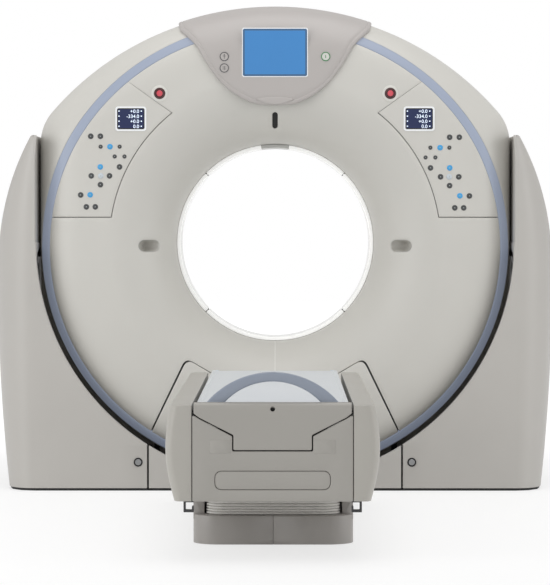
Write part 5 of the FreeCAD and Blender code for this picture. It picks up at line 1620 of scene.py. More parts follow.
@dataclass
class ControlPanels:
    """What sits on the two control panels: displays, keys and emergency buttons."""

    readout: Pair = (581, 500)
    readout_size: Pair = (125, 99)
    round_keys: tuple[Pair, ...] = (
        (-743, 429.5), (-704, 429.5), (-627, 306), (-741, 270), (-667.5, 270),
        (-704, 234.5), (-784, 193), (-761, 145), (-725, 145),
    )
    small_keys: tuple[Pair, ...] = ((-703, 387.5), (-626.5, 387.5), (-646.5, 348), (-607, 348))
    blue_keys: tuple[Pair, ...] = ((-665.5, 387.5), (-704.5, 306), (-745.5, 193.5))
    pale_keys: tuple[Pair, ...] = ((-702.5, 270),)

    def key_tree(self) -> Tree:
        """The tree that sets a flattened dome on every point of a mesh, turned to the point's facing.

        Returns:
            A tree whose inputs are the key's radius, its height and its material.
        """
        tree = bpy.data.node_groups.new("domed keys", "GeometryNodeTree")
        face = tree.interface
        face.new_socket("Geometry", in_out="INPUT", socket_type="NodeSocketGeometry")
        for label, value in (("Radius", 0.0115), ("Height", 0.004)):
            face.new_socket(label, in_out="INPUT", socket_type="NodeSocketFloat").default_value = value
        face.new_socket("Material", in_out="INPUT", socket_type="NodeSocketMaterial")
        face.new_socket("Geometry", in_out="OUTPUT", socket_type="NodeSocketGeometry")
        entry, out = tree.nodes.new("NodeGroupInput").outputs, tree.nodes.new("NodeGroupOutput")
        ball = {"Segments": 20, "Rings": 10, "Radius": entry["Radius"]}
        dome = add_node(tree, "GeometryNodeMeshUVSphere", ball).outputs["Mesh"]
        ratio = maths(tree, "DIVIDE", entry["Height"], entry["Radius"])
        squash = add_node(tree, "ShaderNodeCombineXYZ", {"X": 1, "Y": 1, "Z": ratio}).outputs[0]
        shape = add_node(tree, "GeometryNodeTransform", {"Geometry": dome, "Scale": squash}).outputs[0]
        named = {"Name": "facing"}
        facing = add_node(tree, "GeometryNodeInputNamedAttribute", named, data_type="FLOAT_VECTOR")
        towards = {"Vector": facing.outputs["Attribute"]}
        turn = add_node(tree, "FunctionNodeAlignEulerToVector", towards, axis="Z").outputs[0]
        spread = {"Points": entry["Geometry"], "Instance": shape, "Rotation": turn}
        scatter = add_node(tree, "GeometryNodeInstanceOnPoints", spread)
        real = add_node(tree, "GeometryNodeRealizeInstances", {0: scatter.outputs[0]})
        look = {"Geometry": real.outputs[0], "Material": entry["Material"]}
        feed(tree, out, {0: add_node(tree, "GeometryNodeSetMaterial", look).outputs[0]})
        return tree

    def domes(self, name: str, places: Sequence[Pair], size: Pair, look: Finish, tree: Tree) -> Piece:
        """Keys of one look, set on the covers by the tree and made a plain mesh.

        Args:
            name: The piece's name.
            places: The keys' centres in X and Z.
            size: Their radius and their height.
            look: Their finish.
            tree: The tree from key_tree.

        Returns:
            The keys as one mesh.
        """
        spots, normals = FORM.lift(End.FRONT)(FORM.flattened(np.array(places, float)))
        mesh = bpy.data.meshes.new(name)
        mesh.from_pydata((spots * MM + np.array(place_of(Origin.GANTRY))).tolist(), [], [])
        facing = mesh.attributes.new("facing", "FLOAT_VECTOR", "POINT")
        facing.data.foreach_set("vector", normals.astype(np.float32).ravel())
        piece = linked(name, mesh)
        modifier = piece.modifiers.new("keys", "NODES")
        modifier.node_group = tree
        inputs = {item.name: item.identifier for item in tree.interface.items_tree if item.in_out == "INPUT"}
        modifier[inputs["Radius"]] = size[0] * MM
        modifier[inputs["Height"]] = size[1] * MM
        modifier[inputs["Material"]] = look.material()
        applied(piece)
        smooth(piece, 60)
        return piece

    def build_keys(self) -> None:
        """The keys of both panels with a light sign on each."""
        tree = self.key_tree()
        kinds = (
            (self.round_keys, KEY_DARK, 11.5),
            (self.small_keys, KEY_DARK, 8.5),
            (self.blue_keys, KEY_BLUE, 11.5),
            (self.pale_keys, KEY_UNLIT, 11.5),
        )
        parts = []
        for left, finish, radius in kinds:
            places = list(left) + [(-x, z - 4) for x, z in left]
            parts.append(self.domes("keys", places, (radius, 4.2), finish, tree))
            parts.append(self.domes("signs", places, (radius * 0.34, 4.8), KEY_MARK, tree))
        settle(joined("panel_key_domes", parts), "gantry", "keys", "panel_keys")

    def label(self, text: str, height: float, right: float, low: float, face: float) -> Piece:
        """A line of figures on a display, set from its right end.

        Args:
            text: The figures.
            height: Their height.
            right: Where they end across.
            low: Where they stand upwards.
            face: Their place along Y.

        Returns:
            The figures as a flat mesh.
        """
        curve = bpy.data.curves.new(f"figures {text}", "FONT")
        curve.body = text
        curve.size = height * 1.35 * MM
        curve.align_x = "RIGHT"
        curve.resolution_u = 3
        writing = linked(curve.name, curve)
        mesh = bpy.data.meshes.new_from_object(writing)
        bpy.data.objects.remove(writing)
        bpy.data.curves.remove(curve)
        mesh.transform(Matrix.Rotation(math.pi / 2, 4, "X"))
        mesh.transform(Matrix.Translation(place_of(Origin.GANTRY) + Vector((right, face, low)) * MM))
        mesh.materials.clear()
        mesh.materials.append(DIGITS.material())
        piece = linked("figures", mesh)
        turned_towards(piece, TO_FRONT)
        return piece

    def readout_parts(self, side: int) -> list[Piece]:
        """One small display: its frame, its face, its figures and the small signs beside them.

        Args:
            side: -1 for the left display, 1 for the right.

        Returns:
            The display's parts.
        """
        width, height = self.readout_size
        x, z = side * self.readout[0], self.readout[1]
        face = -FORM.front_face
        layers = ((0, 2.6, 12, FRAME_WHITE), (7, 3.0, 7, READOUT_EDGE), (11, 3.3, 4, READOUT))
        parts = []
        for inset, proud, radius, finish in layers:
            low = (x - width / 2 + inset, z - height / 2 + inset)
            loop = rounded_rectangle(low, (2 * x - low[0], 2 * z - low[1]), radius)
            layer = Patch(loop, plane_lift(face - proud), ((0, proud + 3), (0, 0.5), (0.5, 0)), (), 60)
            parts.append(layer.build("readout_layer", finish))
        for i, text in enumerate(("+0.0", "-334.0", "+0.0", "0.0")):
            row = z + height * (0.31 - 0.205 * i)
            parts.append(self.label(text, 15, x + width * 0.27, row - 7.5, face - 3.5))
            for left in (-0.4, 0.32):
                low = (x + width * left, face - 3.6, row - 2)
                parts.append(block("readout_sign", low, (low[0] + 5, face - 3.2, row + 2), DIGITS))
        return parts

    def build_readouts(self) -> None:
        """The small displays of both panels."""
        parts = self.readout_parts(-1) + self.readout_parts(1)
        settle(joined("panel_readout_faces", parts), "gantry", "readout", "panel_readouts")

    def build_estops(self) -> None:
        """The emergency buttons: a light flange, a dark collar and a domed cap that pushes in."""
        face = -FORM.front_face
        collars = []
        for side, word in ((-1, "left"), (1, "right")):
            centre = (side * ESTOP[0], face, ESTOP[1])
            flange = ((23, 0.5), (23, -2.2), (30.5, -2.2), (32.4, -1), (33, 0.5))
            collar = ((19, 4), (19, -4.6), (19.6, -5.6), (21.4, -5.6), (22.2, -4.8), (23.4, 0.5))
            collars.append(lathe(f"{word}_flange", flange, centre, COLLAR_LIGHT))
            collars.append(lathe(f"{word}_collar", collar, centre, COLLAR_DARK))
            bezel = ((18.4, 12), (18.4, -7.4), (17.6, -8.6), (13.2, -8.9), (12.4, -8.2), (12.2, -4))
            cap = [(12, -4), (12, -8.6)]
            turns = np.linspace(0, math.pi / 2, 6)
            cap += [(9.6 + 2.4 * math.cos(t), -9.2 - 2.4 * math.sin(t)) for t in turns]
            cap += [(6, -11.8), (3, -11.9), (0.1, -11.9)]
            rings = [lathe("bezel", bezel, centre, COLLAR_DARK), lathe("dome", cap, centre, RED)]
            button = joined(f"{word}_estop_cap", rings)
            settle(button, f"{word}_estop", "button_red", f"{word}_estop_button")
        settle(joined("estop_collar_rings", collars), "gantry", "collar", "estop_collars")

    def build(self) -> None:
        """Dresses both panels."""
        self.build_keys()
        self.build_readouts()
        self.build_estops()


@dataclass
class Bore:
    """The bore's liner, and the laser openings round it."""

    radius: float = 390
    outer: float = 404.2
    half: float = 120
    joint: float = 2.4
    window: float = math.radians(8.2)
    scoop_depth: float = 44

    def section(self) -> list[Pair]:
        """The liner's section: radius and place along the bore, its edges rounded.

        Returns:
            Pairs of radius and place along the bore.
        """
        r, out, end, e = self.radius, self.outer, self.half, 4
        turns = np.linspace(0, math.pi / 2, 5)
        round_in = [(r + e - e * math.cos(t), -end + e - e * math.sin(t)) for t in turns]
        front = round_in + [(out - 1, -end), (out, -end + 1)]
        rear = [(radius, -y) for radius, y in reversed(front)]
        return front + rear + [(r, share * end) for share in (0.6, 0.2, -0.2, -0.6)]

    def stretch(self, name: str, start: float, end: float, finish: Finish) -> Piece:
        """One stretch of the liner between two turns from +X.

        Args:
            name: Its name.
            start: The turn where it starts, in radians.
            end: The turn where it ends.
            finish: Its finish.

        Returns:
            The stretch.
        """
        section = np.array(self.section())
        count = max(3, int((end - start) / math.radians(2)))
        spokes = [section[:, :1] * [math.cos(t), math.sin(t)] for t in np.linspace(start, end, count)]
        rows = [upright(spoke, section[:, 1]) for spoke in spokes]
        return skin(name, rows, finish, caps=True)

    def build_liner(self) -> None:
        """The liner in four quarters that meet at the diagonals, with the smoky window at its top."""
        gap = self.joint / self.radius
        quarter = math.pi / 2
        stretches = [(i * quarter - quarter / 2 + gap, i * quarter + quarter / 2 - gap) for i in (-1, 0, 2)]
        stretches += [(quarter / 2 + gap, quarter - self.window - gap / 3)]
        stretches += [(quarter + self.window + gap / 3, 1.5 * quarter - gap)]
        parts = [self.stretch("liner", start, end, LINER) for start, end in stretches]
        parts.append(self.stretch("liner_window", quarter - self.window, quarter + self.window, LINER_WINDOW))
        # Near-black backing behind the liner's quarters: painted shade that darkens the joints between them.
        shade_backing = [(self.radius + 5, -self.half + 5), (self.radius + 5, self.half - 5)]
        parts.append(lathe("liner_shade_backing", shade_backing, (0, 0, 0), PAINTED_SHADE, count=180))
        settle(joined("bore_liner_quarters", parts), "gantry", "liner", "bore_liner")

    def build_openings(self) -> None:
        """The dark window of the upper slot and the hollow scoops at the sides."""
        z, width, height = SLOT
        flat = FORM.flattened(resampled(stadium((0, z), width - 0.8, height - 0.8), 6))
        edge = ((0, 8), (0, 3.6), (0.4, 3.2), (0.4, 3))
        window = Patch(flat, FORM.lift(End.FRONT), edge, (), 6).build("laser_window_glass", GLASS)
        settle(window, "gantry", "laser_glass", "laser_window")
        scoops = [self.scoop_cup(side) for side in (-1, 1)]
        settle(joined("laser_scoop_cups", scoops), "gantry", "gantry_cover", "laser_scoops")

    def scoop_cup(self, side: int) -> Piece:
        """A recess whose floor slopes down towards its outer end.

        Args:
            side: -1 for the left recess, 1 for the right.

        Returns:
            The recess.
        """
        x, z, width, height = SCOOP
        loop = anticlockwise(resampled(stadium((x, z), width - 1.6, height - 1.6, 16), 4)) * [side, 1]
        lift = FORM.lift(End.FRONT)
        steps = ((0, 0), (1, 0.04), (2.5, 0.3), (5, 0.62), (8.5, 0.88), (13, 0.98), (18, 1), (22, 1))
        rows = []
        for inset, share in steps:
            row = drawn_in(anticlockwise(loop), inset)
            along = np.clip((np.abs(row[:, 0]) - (x - width / 2)) / width, 0, 1)
            place, _ = lift(FORM.flattened(row))
            inner, _ = lift(FORM.flattened(np.array([[side * (x - width / 2), z]])))
            floor = inner[0][1] + 1 + (self.scoop_depth - 6) * along**1.3
            y = place[:, 1] + (np.maximum(floor, place[:, 1] + 1.5) - place[:, 1]) * share
            rows.append(upright(place[:, [0, 2]], y))
        cup = skin(f"scoop_{side}", rows, COVER)
        behind = place_of(Origin.GANTRY).y - 0.34
        with edited(cup.data) as work:
            ends = [edge for edge in work.edges if edge.is_boundary and edge.verts[0].co.y > behind]
            bmesh.ops.holes_fill(work, edges=ends)
            bmesh.ops.recalc_face_normals(work, faces=work.faces)
        turned_towards(cup, TO_FRONT)
        return cup

    def build(self) -> None:
        """The liner and the openings."""
        self.build_liner()
        self.build_openings()


# ---- the stands


@dataclass
class Stands:
    """The covers of the two stands, in millimetres from the bore's centre; the right one is mirrored."""

    inner: float = 967
    half: float = 1135
    front: float = -400
    rear: float = 480
    top: float = 434
    waist: float = -155
    floor: float = -1000
    taper_low: float = 52
    taper_top: float = 150
    plinth: float = 10
    skirt: float = 508
    skirt_gap: float = 8
    cutout: float = 964
    lip: float = 30
    latch: Three = (552, 115, 18)

    def width(self, z: float) -> float:
        """Half the width over the stands at one height."""
        low, high = (self.waist - z) / (self.waist - self.floor), (z - self.waist) / (self.top - self.waist)
        return self.half - (self.taper_low * low**2 if z < self.waist else self.taper_top * high**2.4)

    def inner_edge(self, z: float) -> float:
        """Where the front face ends towards the bore at one height."""
        hollow = math.sqrt(max(self.cutout**2 - z * z, 0))
        return self.inner if z >= 0 else max(self.skirt + self.skirt_gap, hollow)

    def row(self, z: float, face: float, rise: float = 0) -> Points:
        """One level of the right stand's cover, from its lip round its corner to the seam at its side.

        Args:
            z: The height.
            face: The face's place along Y.
            rise: How far the edges are drawn in.

        Returns:
            The points.
        """
        wide = self.width(z) - rise
        corner = max(0.85 * (wide - self.inner) + 10, 6)
        along = 1.4 * corner
        way = -1 if face < 0 else 1
        edge = self.inner_edge(z) + (rise if z >= 0 else 0)
        full = abs(face) - 0.4
        deep = self.lip + (full - self.lip) * max(0.0, 1 + z / 60) ** 2 if z < 0 else full
        bevel = 3
        points = [(edge, face - way * deep), (edge, face - way * bevel)]
        points += [(edge + bevel * 0.3, face - way * bevel * 0.3)]
        points += [(edge + bevel + (wide - corner - edge - bevel) * s, face) for s in (0, 0.25, 0.5, 0.75, 1)]
        for turn in np.linspace(0, math.pi / 2, 13)[1:]:
            y = face - way * along * (1 - math.cos(turn))
            points.append((wide - corner + corner * math.sin(turn), y))
        start = face - way * along
        points += [(wide, start + (-way * -0.4 - start) * s) for s in (0.25, 0.5, 0.75)]
        points += [(wide, way * 2), (wide - 0.6, way * 1), (wide - 2, way * 0.4), (wide - 9, way * 0.4)]
        return np.array([(x, y, z) for x, y in points])

    def levels(self) -> list[float]:
        """The heights of the cover's rows, close together where the cutout starts.

        Returns:
            The heights.
        """
        low = self.floor + self.plinth
        start = -math.sqrt(self.cutout**2 - (self.skirt + self.skirt_gap) ** 2)
        rows = list(np.linspace(low, start, 14)[:-1]) + list(np.linspace(start, start * 0.72, 22)[:-1])
        return rows + list(np.linspace(start * 0.72, -0.5, 30)) + list(np.linspace(0.5, self.top - 6, 34))

    def cover(self, name: str, face: float) -> Piece:
        """The right stand's front or rear cover.

        Args:
            name: Its name.
            face: The face's place along Y.

        Returns:
            The cover.
        """
        rows = [self.row(z, face) for z in self.levels()]
        for rise, z in ((0.6, self.top - 3), (2, self.top - 0.8), (4.5, self.top)):
            row = self.row(z, face + (rise if face < 0 else -rise), rise)
            rows.append(row)
        grid = np.stack(rows)
        count = grid.shape[1]
        faces = grid_faces(len(rows), count, False)
        faces.append(tuple(range((len(rows) - 1) * count, len(rows) * count)))
        return new_object(name, grid.reshape(-1, 3), faces, STAND, merge=0.05)

    def skirt_panel(self, name: str, face: float) -> Piece:
        """The low panel between the stands, hollowed out round the gantry, with a lip along its edge.

        Args:
            name: Its name.
            face: The face's place along Y.

        Returns:
            The panel.
        """
        way = -1 if face < 0 else 1
        columns = np.linspace(-self.skirt, self.skirt, 61)
        low = self.floor + self.plinth
        bevel = 3.0
        rows = []
        top = -np.sqrt(self.cutout**2 - columns**2)
        for share in (0, 0.25, 0.5, 0.75, 1):
            z = low + (top - bevel - low) * share
            rows.append(np.stack([columns, np.full(61, face), z], axis=1))
        for drop, back in ((0.3 * bevel, 0.3 * bevel), (0, bevel), (0, self.lip)):
            rows.append(np.stack([columns, np.full(61, face - way * back), top - drop], axis=1))
        grid = np.stack(rows)
        ends = []
        for column, sign in ((0, -1), (-1, 1)):
            edge = grid[:, [column]].copy()
            near = edge + [sign * 0.8, -way * 0.8, 0]
            back = edge + [sign * 0.8, -way * 12.0, 0]
            ends.append([near, back])
        grid = np.concatenate([ends[0][1], ends[0][0], grid, ends[1][0], ends[1][1]], axis=1)
        return skin(name, grid, STAND, closed=False)

    def shade_backing(self, face: float) -> Piece:
        """Near-black strips behind the grooves between the stands and the low panel: painted shade that makes
        the grooves read dark.

        Args:
            face: The face's place along Y.

        Returns:
            The strips as one piece.
        """
        way = -1 if face < 0 else 1
        back, top = face - way * (self.lip + 4), -math.sqrt(self.cutout**2 - self.skirt**2) - 6
        strips = []
        for side in (-1, 1):
            low, high = sorted((side * (self.skirt - 8), side * (self.skirt + self.skirt_gap + 8)))
            near, far = sorted((back, back - way * 3))
            strips.append(block("groove_shade_strip", (low, near, self.floor + 6), (high, far, top), PAINTED_SHADE))
        return joined("groove_shade_strips", strips)

    def build_latches(self) -> None:
        """The round latches: a near-black cup, painted shade of the recess, round a bright slotted stud."""
        x, z, radius = self.latch
        place = self.floor + z
        parts = []
        for side in (-1, 1):
            centre = (side * x, self.front, place)
            cup = [(radius - 5.4, 0.5), (radius - 5.4, -1.2), (radius - 4.4, -3.4), (radius - 1.4, -3.4)]
            cup += [(radius, -2), (radius, 1)]
            stud = [(radius - 6, 0.5), (radius - 6, -3.6), (radius - 7.4, -4.8)]
            stud += [(3.4, -4.8), (3.2, -3), (0.1, -3)]
            # The cup's near black is painted shade.
            parts.append(lathe(f"latch_shade_cup_{side}", cup, centre, PAINTED_SHADE, count=40))
            parts.append(lathe(f"latch_stud_{side}", stud, centre, LATCH, count=40))
        settle(joined("cover_latch_studs", parts), "stand", "latch", "cover_latches")

    def build(self) -> None:
        """Both stands' covers, the skirts and the latches."""
        for word, face in (("front", self.front), ("rear", self.rear)):
            right = self.cover(f"right_stand_{word}_skin", face)
            left = mirrored(right, f"left_stand_{word}_skin")
            way = (0.0, math.copysign(1, face), 0.0)
            for side, piece in (("right", right), ("left", left)):
                turned_towards(piece, way)
                settle(piece, "stand", "stand_cover", f"{side}_stand_{word}_cover")
            skirt = self.skirt_panel(f"{word}_skirt_skin", face)
            turned_towards(skirt, way)
            # The skirt is joined with the strips of painted shade behind its grooves.
            skirt = joined(f"{word}_skirt_skin", [skirt, self.shade_backing(face)])
            settle(skirt, "stand", "stand_cover", f"{word}_skirt")
        self.build_latches()


# ---- the couch


@dataclass
class Couch:
    """The patient couch, in millimetres over the floor and from the bore's centre along Y."""

    near: float = -2910
    far: float = -812
    end_half: float = 256
    end_gap: float = 2
    bottom: float = 191
    low_x: float = 315
    mid_x: float = 343
    high_x: float = 329
    cover_top: float = 499
    top_z: float = 507
    side_round: float = 26
    side_depth: float = 46
    groove: float = 4
    tee_top: float = 468
    stem: Three = (129, 399, 351)
    roll: float = 22
    lock: Pair = (7.5, 486)
    access: Four = (185, 228, 289, 25)
    access_gap: float = 1.4
    top_half: float = 243
    top_edge: float = 24
    belly: float = 88
    handle: Four = (210, 95, 30, 58)
    end_block: float = 30
    base_near: float = -2410
    base_far: float = -1160
    base_half: float = 270
    base_top: float = 97
    horn_top: float = 152
    horn: float = 38
    base_round: float = 90
    bellows_half: float = 228
    bellows_set: float = 26
    ribs: int = 10
    fold: float = 9
    hook: Four = (252, 286, 151, 26)

    def side_section(self) -> Loop:
        """The right side cover's section: a bulging outer side and a flat inner one.

        Returns:
            The section in X and Z.
        """
        x0, top = self.end_half + self.end_gap, self.cover_top
        z0, z1 = self.bottom, top - 11
        bulge = self.mid_x - (self.low_x + self.high_x) / 2
        outer = []
        for share in np.linspace(0, 1, 15):
            x = self.low_x + (self.high_x - self.low_x) * share + bulge * math.sin(math.pi * share)
            outer.append((x, z0 + (z1 - z0) * share))
        corners = [(x0, z0)] + outer + [(self.high_x - 3, top - 3.2), (self.high_x - 11, top), (x0, top)]
        return anticlockwise(np.array(corners))

    def side_cover(self) -> Piece:
        """The right side cover as a long prism with rounded ends.

        Returns:
            The cover.
        """
        loop = self.side_section()
        rows = []
        inner = self.end_half + self.end_gap
        outness = np.clip((loop[:, 0] - inner) / (self.low_x - inner), 0, 1)
        for share in (0, 0.02, 0.08, 0.18, 0.32, 0.5, 0.72, 1):
            inset = 4 * (1 - math.sqrt(1 - (1 - min(share * 8, 1)) ** 2))
            row = drawn_in(loop, inset)
            row[:, 0] -= outness * self.side_round * (1 - math.sqrt(1 - (1 - share) ** 2))
            rows.append(upright(row, self.near + share * self.side_depth))
        middle = [upright(loop, y) for y in np.linspace(self.near + 60, self.far - 60, 12)]
        back = [row * [1, 0, 1] + [0, self.far - (row[0][1] - self.near), 0] for row in reversed(rows)]
        return skin("right_side_skin", rows + middle + back, COUCH, Origin.COUCH, caps=True)

    def tee(self, inset: float, roll: bool) -> Loop:
        """The outline of the near end's upper cover: a bar with a stem below its middle.

        Args:
            inset: How far its edges are drawn in.
            roll: Whether its upper corners are cut off.

        Returns:
            The outline in X and Z.
        """
        half, top = self.end_half - inset, self.top_z
        stem, neck, low = self.stem
        knee_x, knee_z = self.end_half - self.roll, self.tee_top - self.roll * 0.62 + inset
        side = [(half, self.tee_top + inset), (knee_x, knee_z)]
        side += [(stem - inset, neck + inset), (stem - inset, low + inset)]
        crown = [(half, top)] if not roll else [(half, top - 3), (half - 3, top)]
        right = crown[::-1] + side if roll else crown + side
        return np.array([(-x, z) for x, z in right] + list(reversed(right)))

    def end_panel(
        self, name: str, loop: Loop, depth: float, holes: Sequence[Loop] = (), y: float = 0
    ) -> Piece:
        """A moulded panel of the near end with small rounds at its edges."""
        edge = ((0, depth), (0, 2.2), (0.7, 0.7), (2.2, 0))
        return Patch(loop, plane_lift(self.near + y), edge, holes, 40).build(name, COUCH_END, Origin.COUCH)

    def build_end(self) -> None:
        """The near end: the lower cover, the access plate and the upper cover that travels."""
        stem, neck, low = self.stem
        knee_x, knee_z = self.end_half - self.roll, self.tee_top - self.roll * 0.62
        right = [(self.end_half, self.tee_top), (knee_x, knee_z), (stem, neck), (stem, low)]
        corners = [(-self.end_half, self.bottom), (self.end_half, self.bottom)] + right
        corners += [(-x, z) for x, z in reversed(right)]
        half, access_low, access_high, corner = self.access
        window = rounded_rectangle((-half, access_low), (half, access_high), corner)
        parts = [self.end_panel("end_lower_shell", rounded(corners, 5, 3), 10, [window])]
        for side in (-1, 1):
            low, high = sorted((side * 133, side * 200))
            blank = rounded([(low, 344), (high, 344), (high, 388), (low, 388)], 3, 3)
            profile = ((0, 0.5), (0, -0.3), (0.6, -0.8))
            plate = Patch(blank, plane_lift(self.near), profile, (), 40)
            parts.append(plate.build("end_blank", COUCH_END, Origin.COUCH))
        settle(joined("end_lower_skin", parts), "couch", "couch_cover", "end_cover_lower")
        gap = self.access_gap
        low, high = (-half + gap, access_low + gap), (half - gap, access_high - gap)
        plate = rounded_rectangle(low, high, corner - gap)
        access = self.end_panel("end_access_skin", plate, 14, y=0.6)
        settle(access, "couch", "couch_cover", "end_access_plate")
        self.build_upper_end()

    def build_upper_end(self) -> None:
        """The upper end cover: its top edge rolls over towards the tabletop, with a small release hole."""
        loop = rounded(self.tee(self.groove, False), 5, 3)
        radius, lock_z = self.lock
        hole = circle((0, lock_z), radius, 24)
        roll = self.roll

        def rolled(flat: Points) -> tuple[Points, Points]:
            """The points at flat coordinates and their normals, rolled back at the top.

            Args:
                flat: Flat coordinates.

            Returns:
                The points and the normals.
            """
            share = np.clip((flat[:, 1] - (self.top_z - roll)) / roll, 0, 1)
            back = roll * (1 - np.sqrt(1 - share**2 * 0.998))
            place = upright(flat, self.near + back)
            normal = np.stack([np.zeros(len(flat)), -np.sqrt(1 - share**2 * 0.96), share * 0.98], axis=1)
            return place, normal

        profile = ((0, 9), (0, 2), (0.6, 0.6), (2, 0))
        face = Patch(loop, rolled, profile, [hole], 7).build("end_upper_face", COUCH_END, Origin.COUCH)
        # The near-black cup inside the release hole is painted shade.
        cup_line = ((radius + 0.5, 2), (radius - 0.5, 3), (radius - 0.5, 12), (0.1, 12))
        cup = lathe("lock_shade_cup", cup_line, (0, self.near, lock_z), PAINTED_SHADE, Origin.COUCH, 24)
        low = (-self.end_half + 3.4, self.near + roll - 1, self.tee_top + 4)
        high = (self.end_half - 3.4, self.near + self.end_block, self.top_z - 0.4)
        back = block("end_upper_back", low, high, COUCH_END, Origin.COUCH)
        # A near-black sheet behind the groove round the upper cover, painted shade so that the groove reads
        # dark.
        hidden = self.tee(0.4, False)
        hidden[:, 1] = np.minimum(hidden[:, 1], self.top_z - self.roll - 4)
        shade = Patch(hidden, plane_lift(self.near + 12), ((0, 1), (0, 0)), (), 40)
        shade_sheet = shade.build("end_upper_shade_sheet", PAINTED_SHADE, Origin.COUCH)
        whole = joined("end_upper_skin", [face, cup, back, shade_sheet])
        settle(whole, "tabletop", "couch_cover", "end_cover_upper")

    def build_top(self) -> None:
        """The tabletop: flat between fine raised edges, with its belly below."""
        half, top, edge = self.top_half, self.top_z, self.top_z - self.top_edge
        deep = self.belly - self.top_edge
        belly = [(x * half, edge - deep * (1 - x * x)) for x in np.linspace(-1, 1, 31)]
        right = [(half, top - 4), (half - 1.2, top - 1.2), (half - 4, top), (half - 13, top)]
        right += [(half - 16, top - 2.4)]
        left = [(-x, z) for x, z in reversed(right)]
        outline = np.array([(-half, edge + 4)] + belly[1:-1] + [(half, edge + 4)] + right + left)
        rows = [upright(outline, y) for y in np.linspace(self.near + self.end_block, self.far - 8, 16)]
        for y, shrink in ((5, 0.994), (2, 0.985), (0.5, 0.97), (0, 0.95)):
            rows.append(upright(outline * [shrink, 1], self.far - y))
        slab = skin("tabletop_skin", rows, TOP, Origin.COUCH, caps=True)
        smooth(slab, 32)
        settle(slab, "tabletop", "tabletop", "tabletop")

    def build_handle(self) -> None:
        """The arch at the tabletop's near end: a bevelled bar that widens into its feet."""
        half, rise, bar, foot = self.handle
        inner = half - foot
        count = 41

        def bow(reach: float, up: float) -> Loop:
            """The upper arc over a chord.

            Args:
                reach: Half the chord's length.
                up: The arc's rise over the chord.

            Returns:
                The arc's points in X and Z.
            """
            radius = (reach * reach + up * up) / (2 * up)
            x = reach * np.linspace(-1, 1, count)
            return np.stack([x, np.sqrt(radius**2 - x**2) - radius + up], axis=1)

        out, hollow = bow(half, rise), bow(inner, rise - bar)
        y0, y1 = self.near + 30, self.near + 60
        bevel = 7.0
        steps = ((0, bevel), (0.12, bevel * 0.55), (0.45, bevel * 0.12), (1, 0))
        rows = [(y0 + bevel * share, inset) for share, inset in steps]
        ring = rows + [(y0 + y1 - y, inset) for y, inset in reversed(rows)]
        columns = []
        for i in range(count):
            way = out[i] - hollow[i]
            way = way / np.linalg.norm(way)
            column = [(out[i] - way * inset, y) for y, inset in ring]
            column += [(hollow[i] + way * inset, y) for y, inset in reversed(ring)]
            columns.append([(p[0], y, self.top_z + max(p[1], 0)) for p, y in column])
        arch = skin("arch_handle_skin", columns, HANDLE, Origin.COUCH, caps=True)
        settle(arch, "tabletop", "trim", "arch_handle")

    def build_hooks(self) -> None:
        """The strap hooks below the couch's near end."""
        low, high, bottom, wide = self.hook
        top = self.bottom
        line = [(low, top), (high, top), (high, bottom), (low + 1, bottom), (low + 1, bottom + 20)]
        line += [(low + 7, bottom + 20), (low + 7, bottom + 8), (high - 7, bottom + 8)]
        line += [(high - 7, top - 8), (low, top - 8)]
        loop = anticlockwise(rounded(line, 2.5, 3))
        start = self.near + 60
        steps = ((0, 1), (1, 0), (wide - 1, 0), (wide, 1))
        rows = [upright(drawn_in(loop, inset), start + y) for y, inset in steps]
        right = skin("hook_right", rows, HOOK, Origin.COUCH, caps=True)
        left = mirrored(right, "hook_left")
        settle(joined("couch_hooks", [right, left]), "couch", "frame_steel", "hooks")

    def plan(self, half: float, near: float, far: float, corner: float, steps: int = 10) -> Loop:
        """A rectangle with round corners, seen from above, in X and Y.

        Args:
            half: Half its width.
            near: Its near end along Y.
            far: Its far end.
            corner: The rounds' radius.
            steps: Points along each round.

        Returns:
            The loop.
        """
        points = []
        for sx, sy, start in ((1, 1, 0), (-1, 1, 90), (-1, -1, 180), (1, -1, 270)):
            x, y = sx * (half - corner), (far - corner if sy > 0 else near + corner)
            for t in np.radians(np.linspace(start, start + 90, steps)):
                points.append((x + corner * math.cos(t), y + corner * math.sin(t)))
        return np.array(points)

    def build_bellows(self) -> None:
        """The folded skirt: soft ribs whose valleys are drawn tight."""
        near, far = self.base_near + self.bellows_set, self.base_far - self.bellows_set
        rows = []
        per_rib = 8
        count = self.ribs * per_rib
        for i in range(count + 1):
            share = i / per_rib
            wave = abs(math.sin(math.pi * share)) ** 0.55
            inset = self.fold * (1 - wave)
            z = self.base_top + (self.bottom - self.base_top) * i / count
            loop = self.plan(self.bellows_half - inset, near + inset, far - inset, 63 - inset, 8)
            rows.append(level(loop, z))
        piece = skin("bellows_folds", rows, BELLOWS, Origin.COUCH)
        smooth(piece, 50)
        place = place_of(Origin.COUCH)
        middle = (self.base_near + self.base_far) / 2 * MM + place.y
        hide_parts("bellows")
        low, high = (place.x, middle, self.base_top * MM), (place.x, middle, self.bottom * MM)
        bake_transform(piece)
        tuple(low)
        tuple(high)

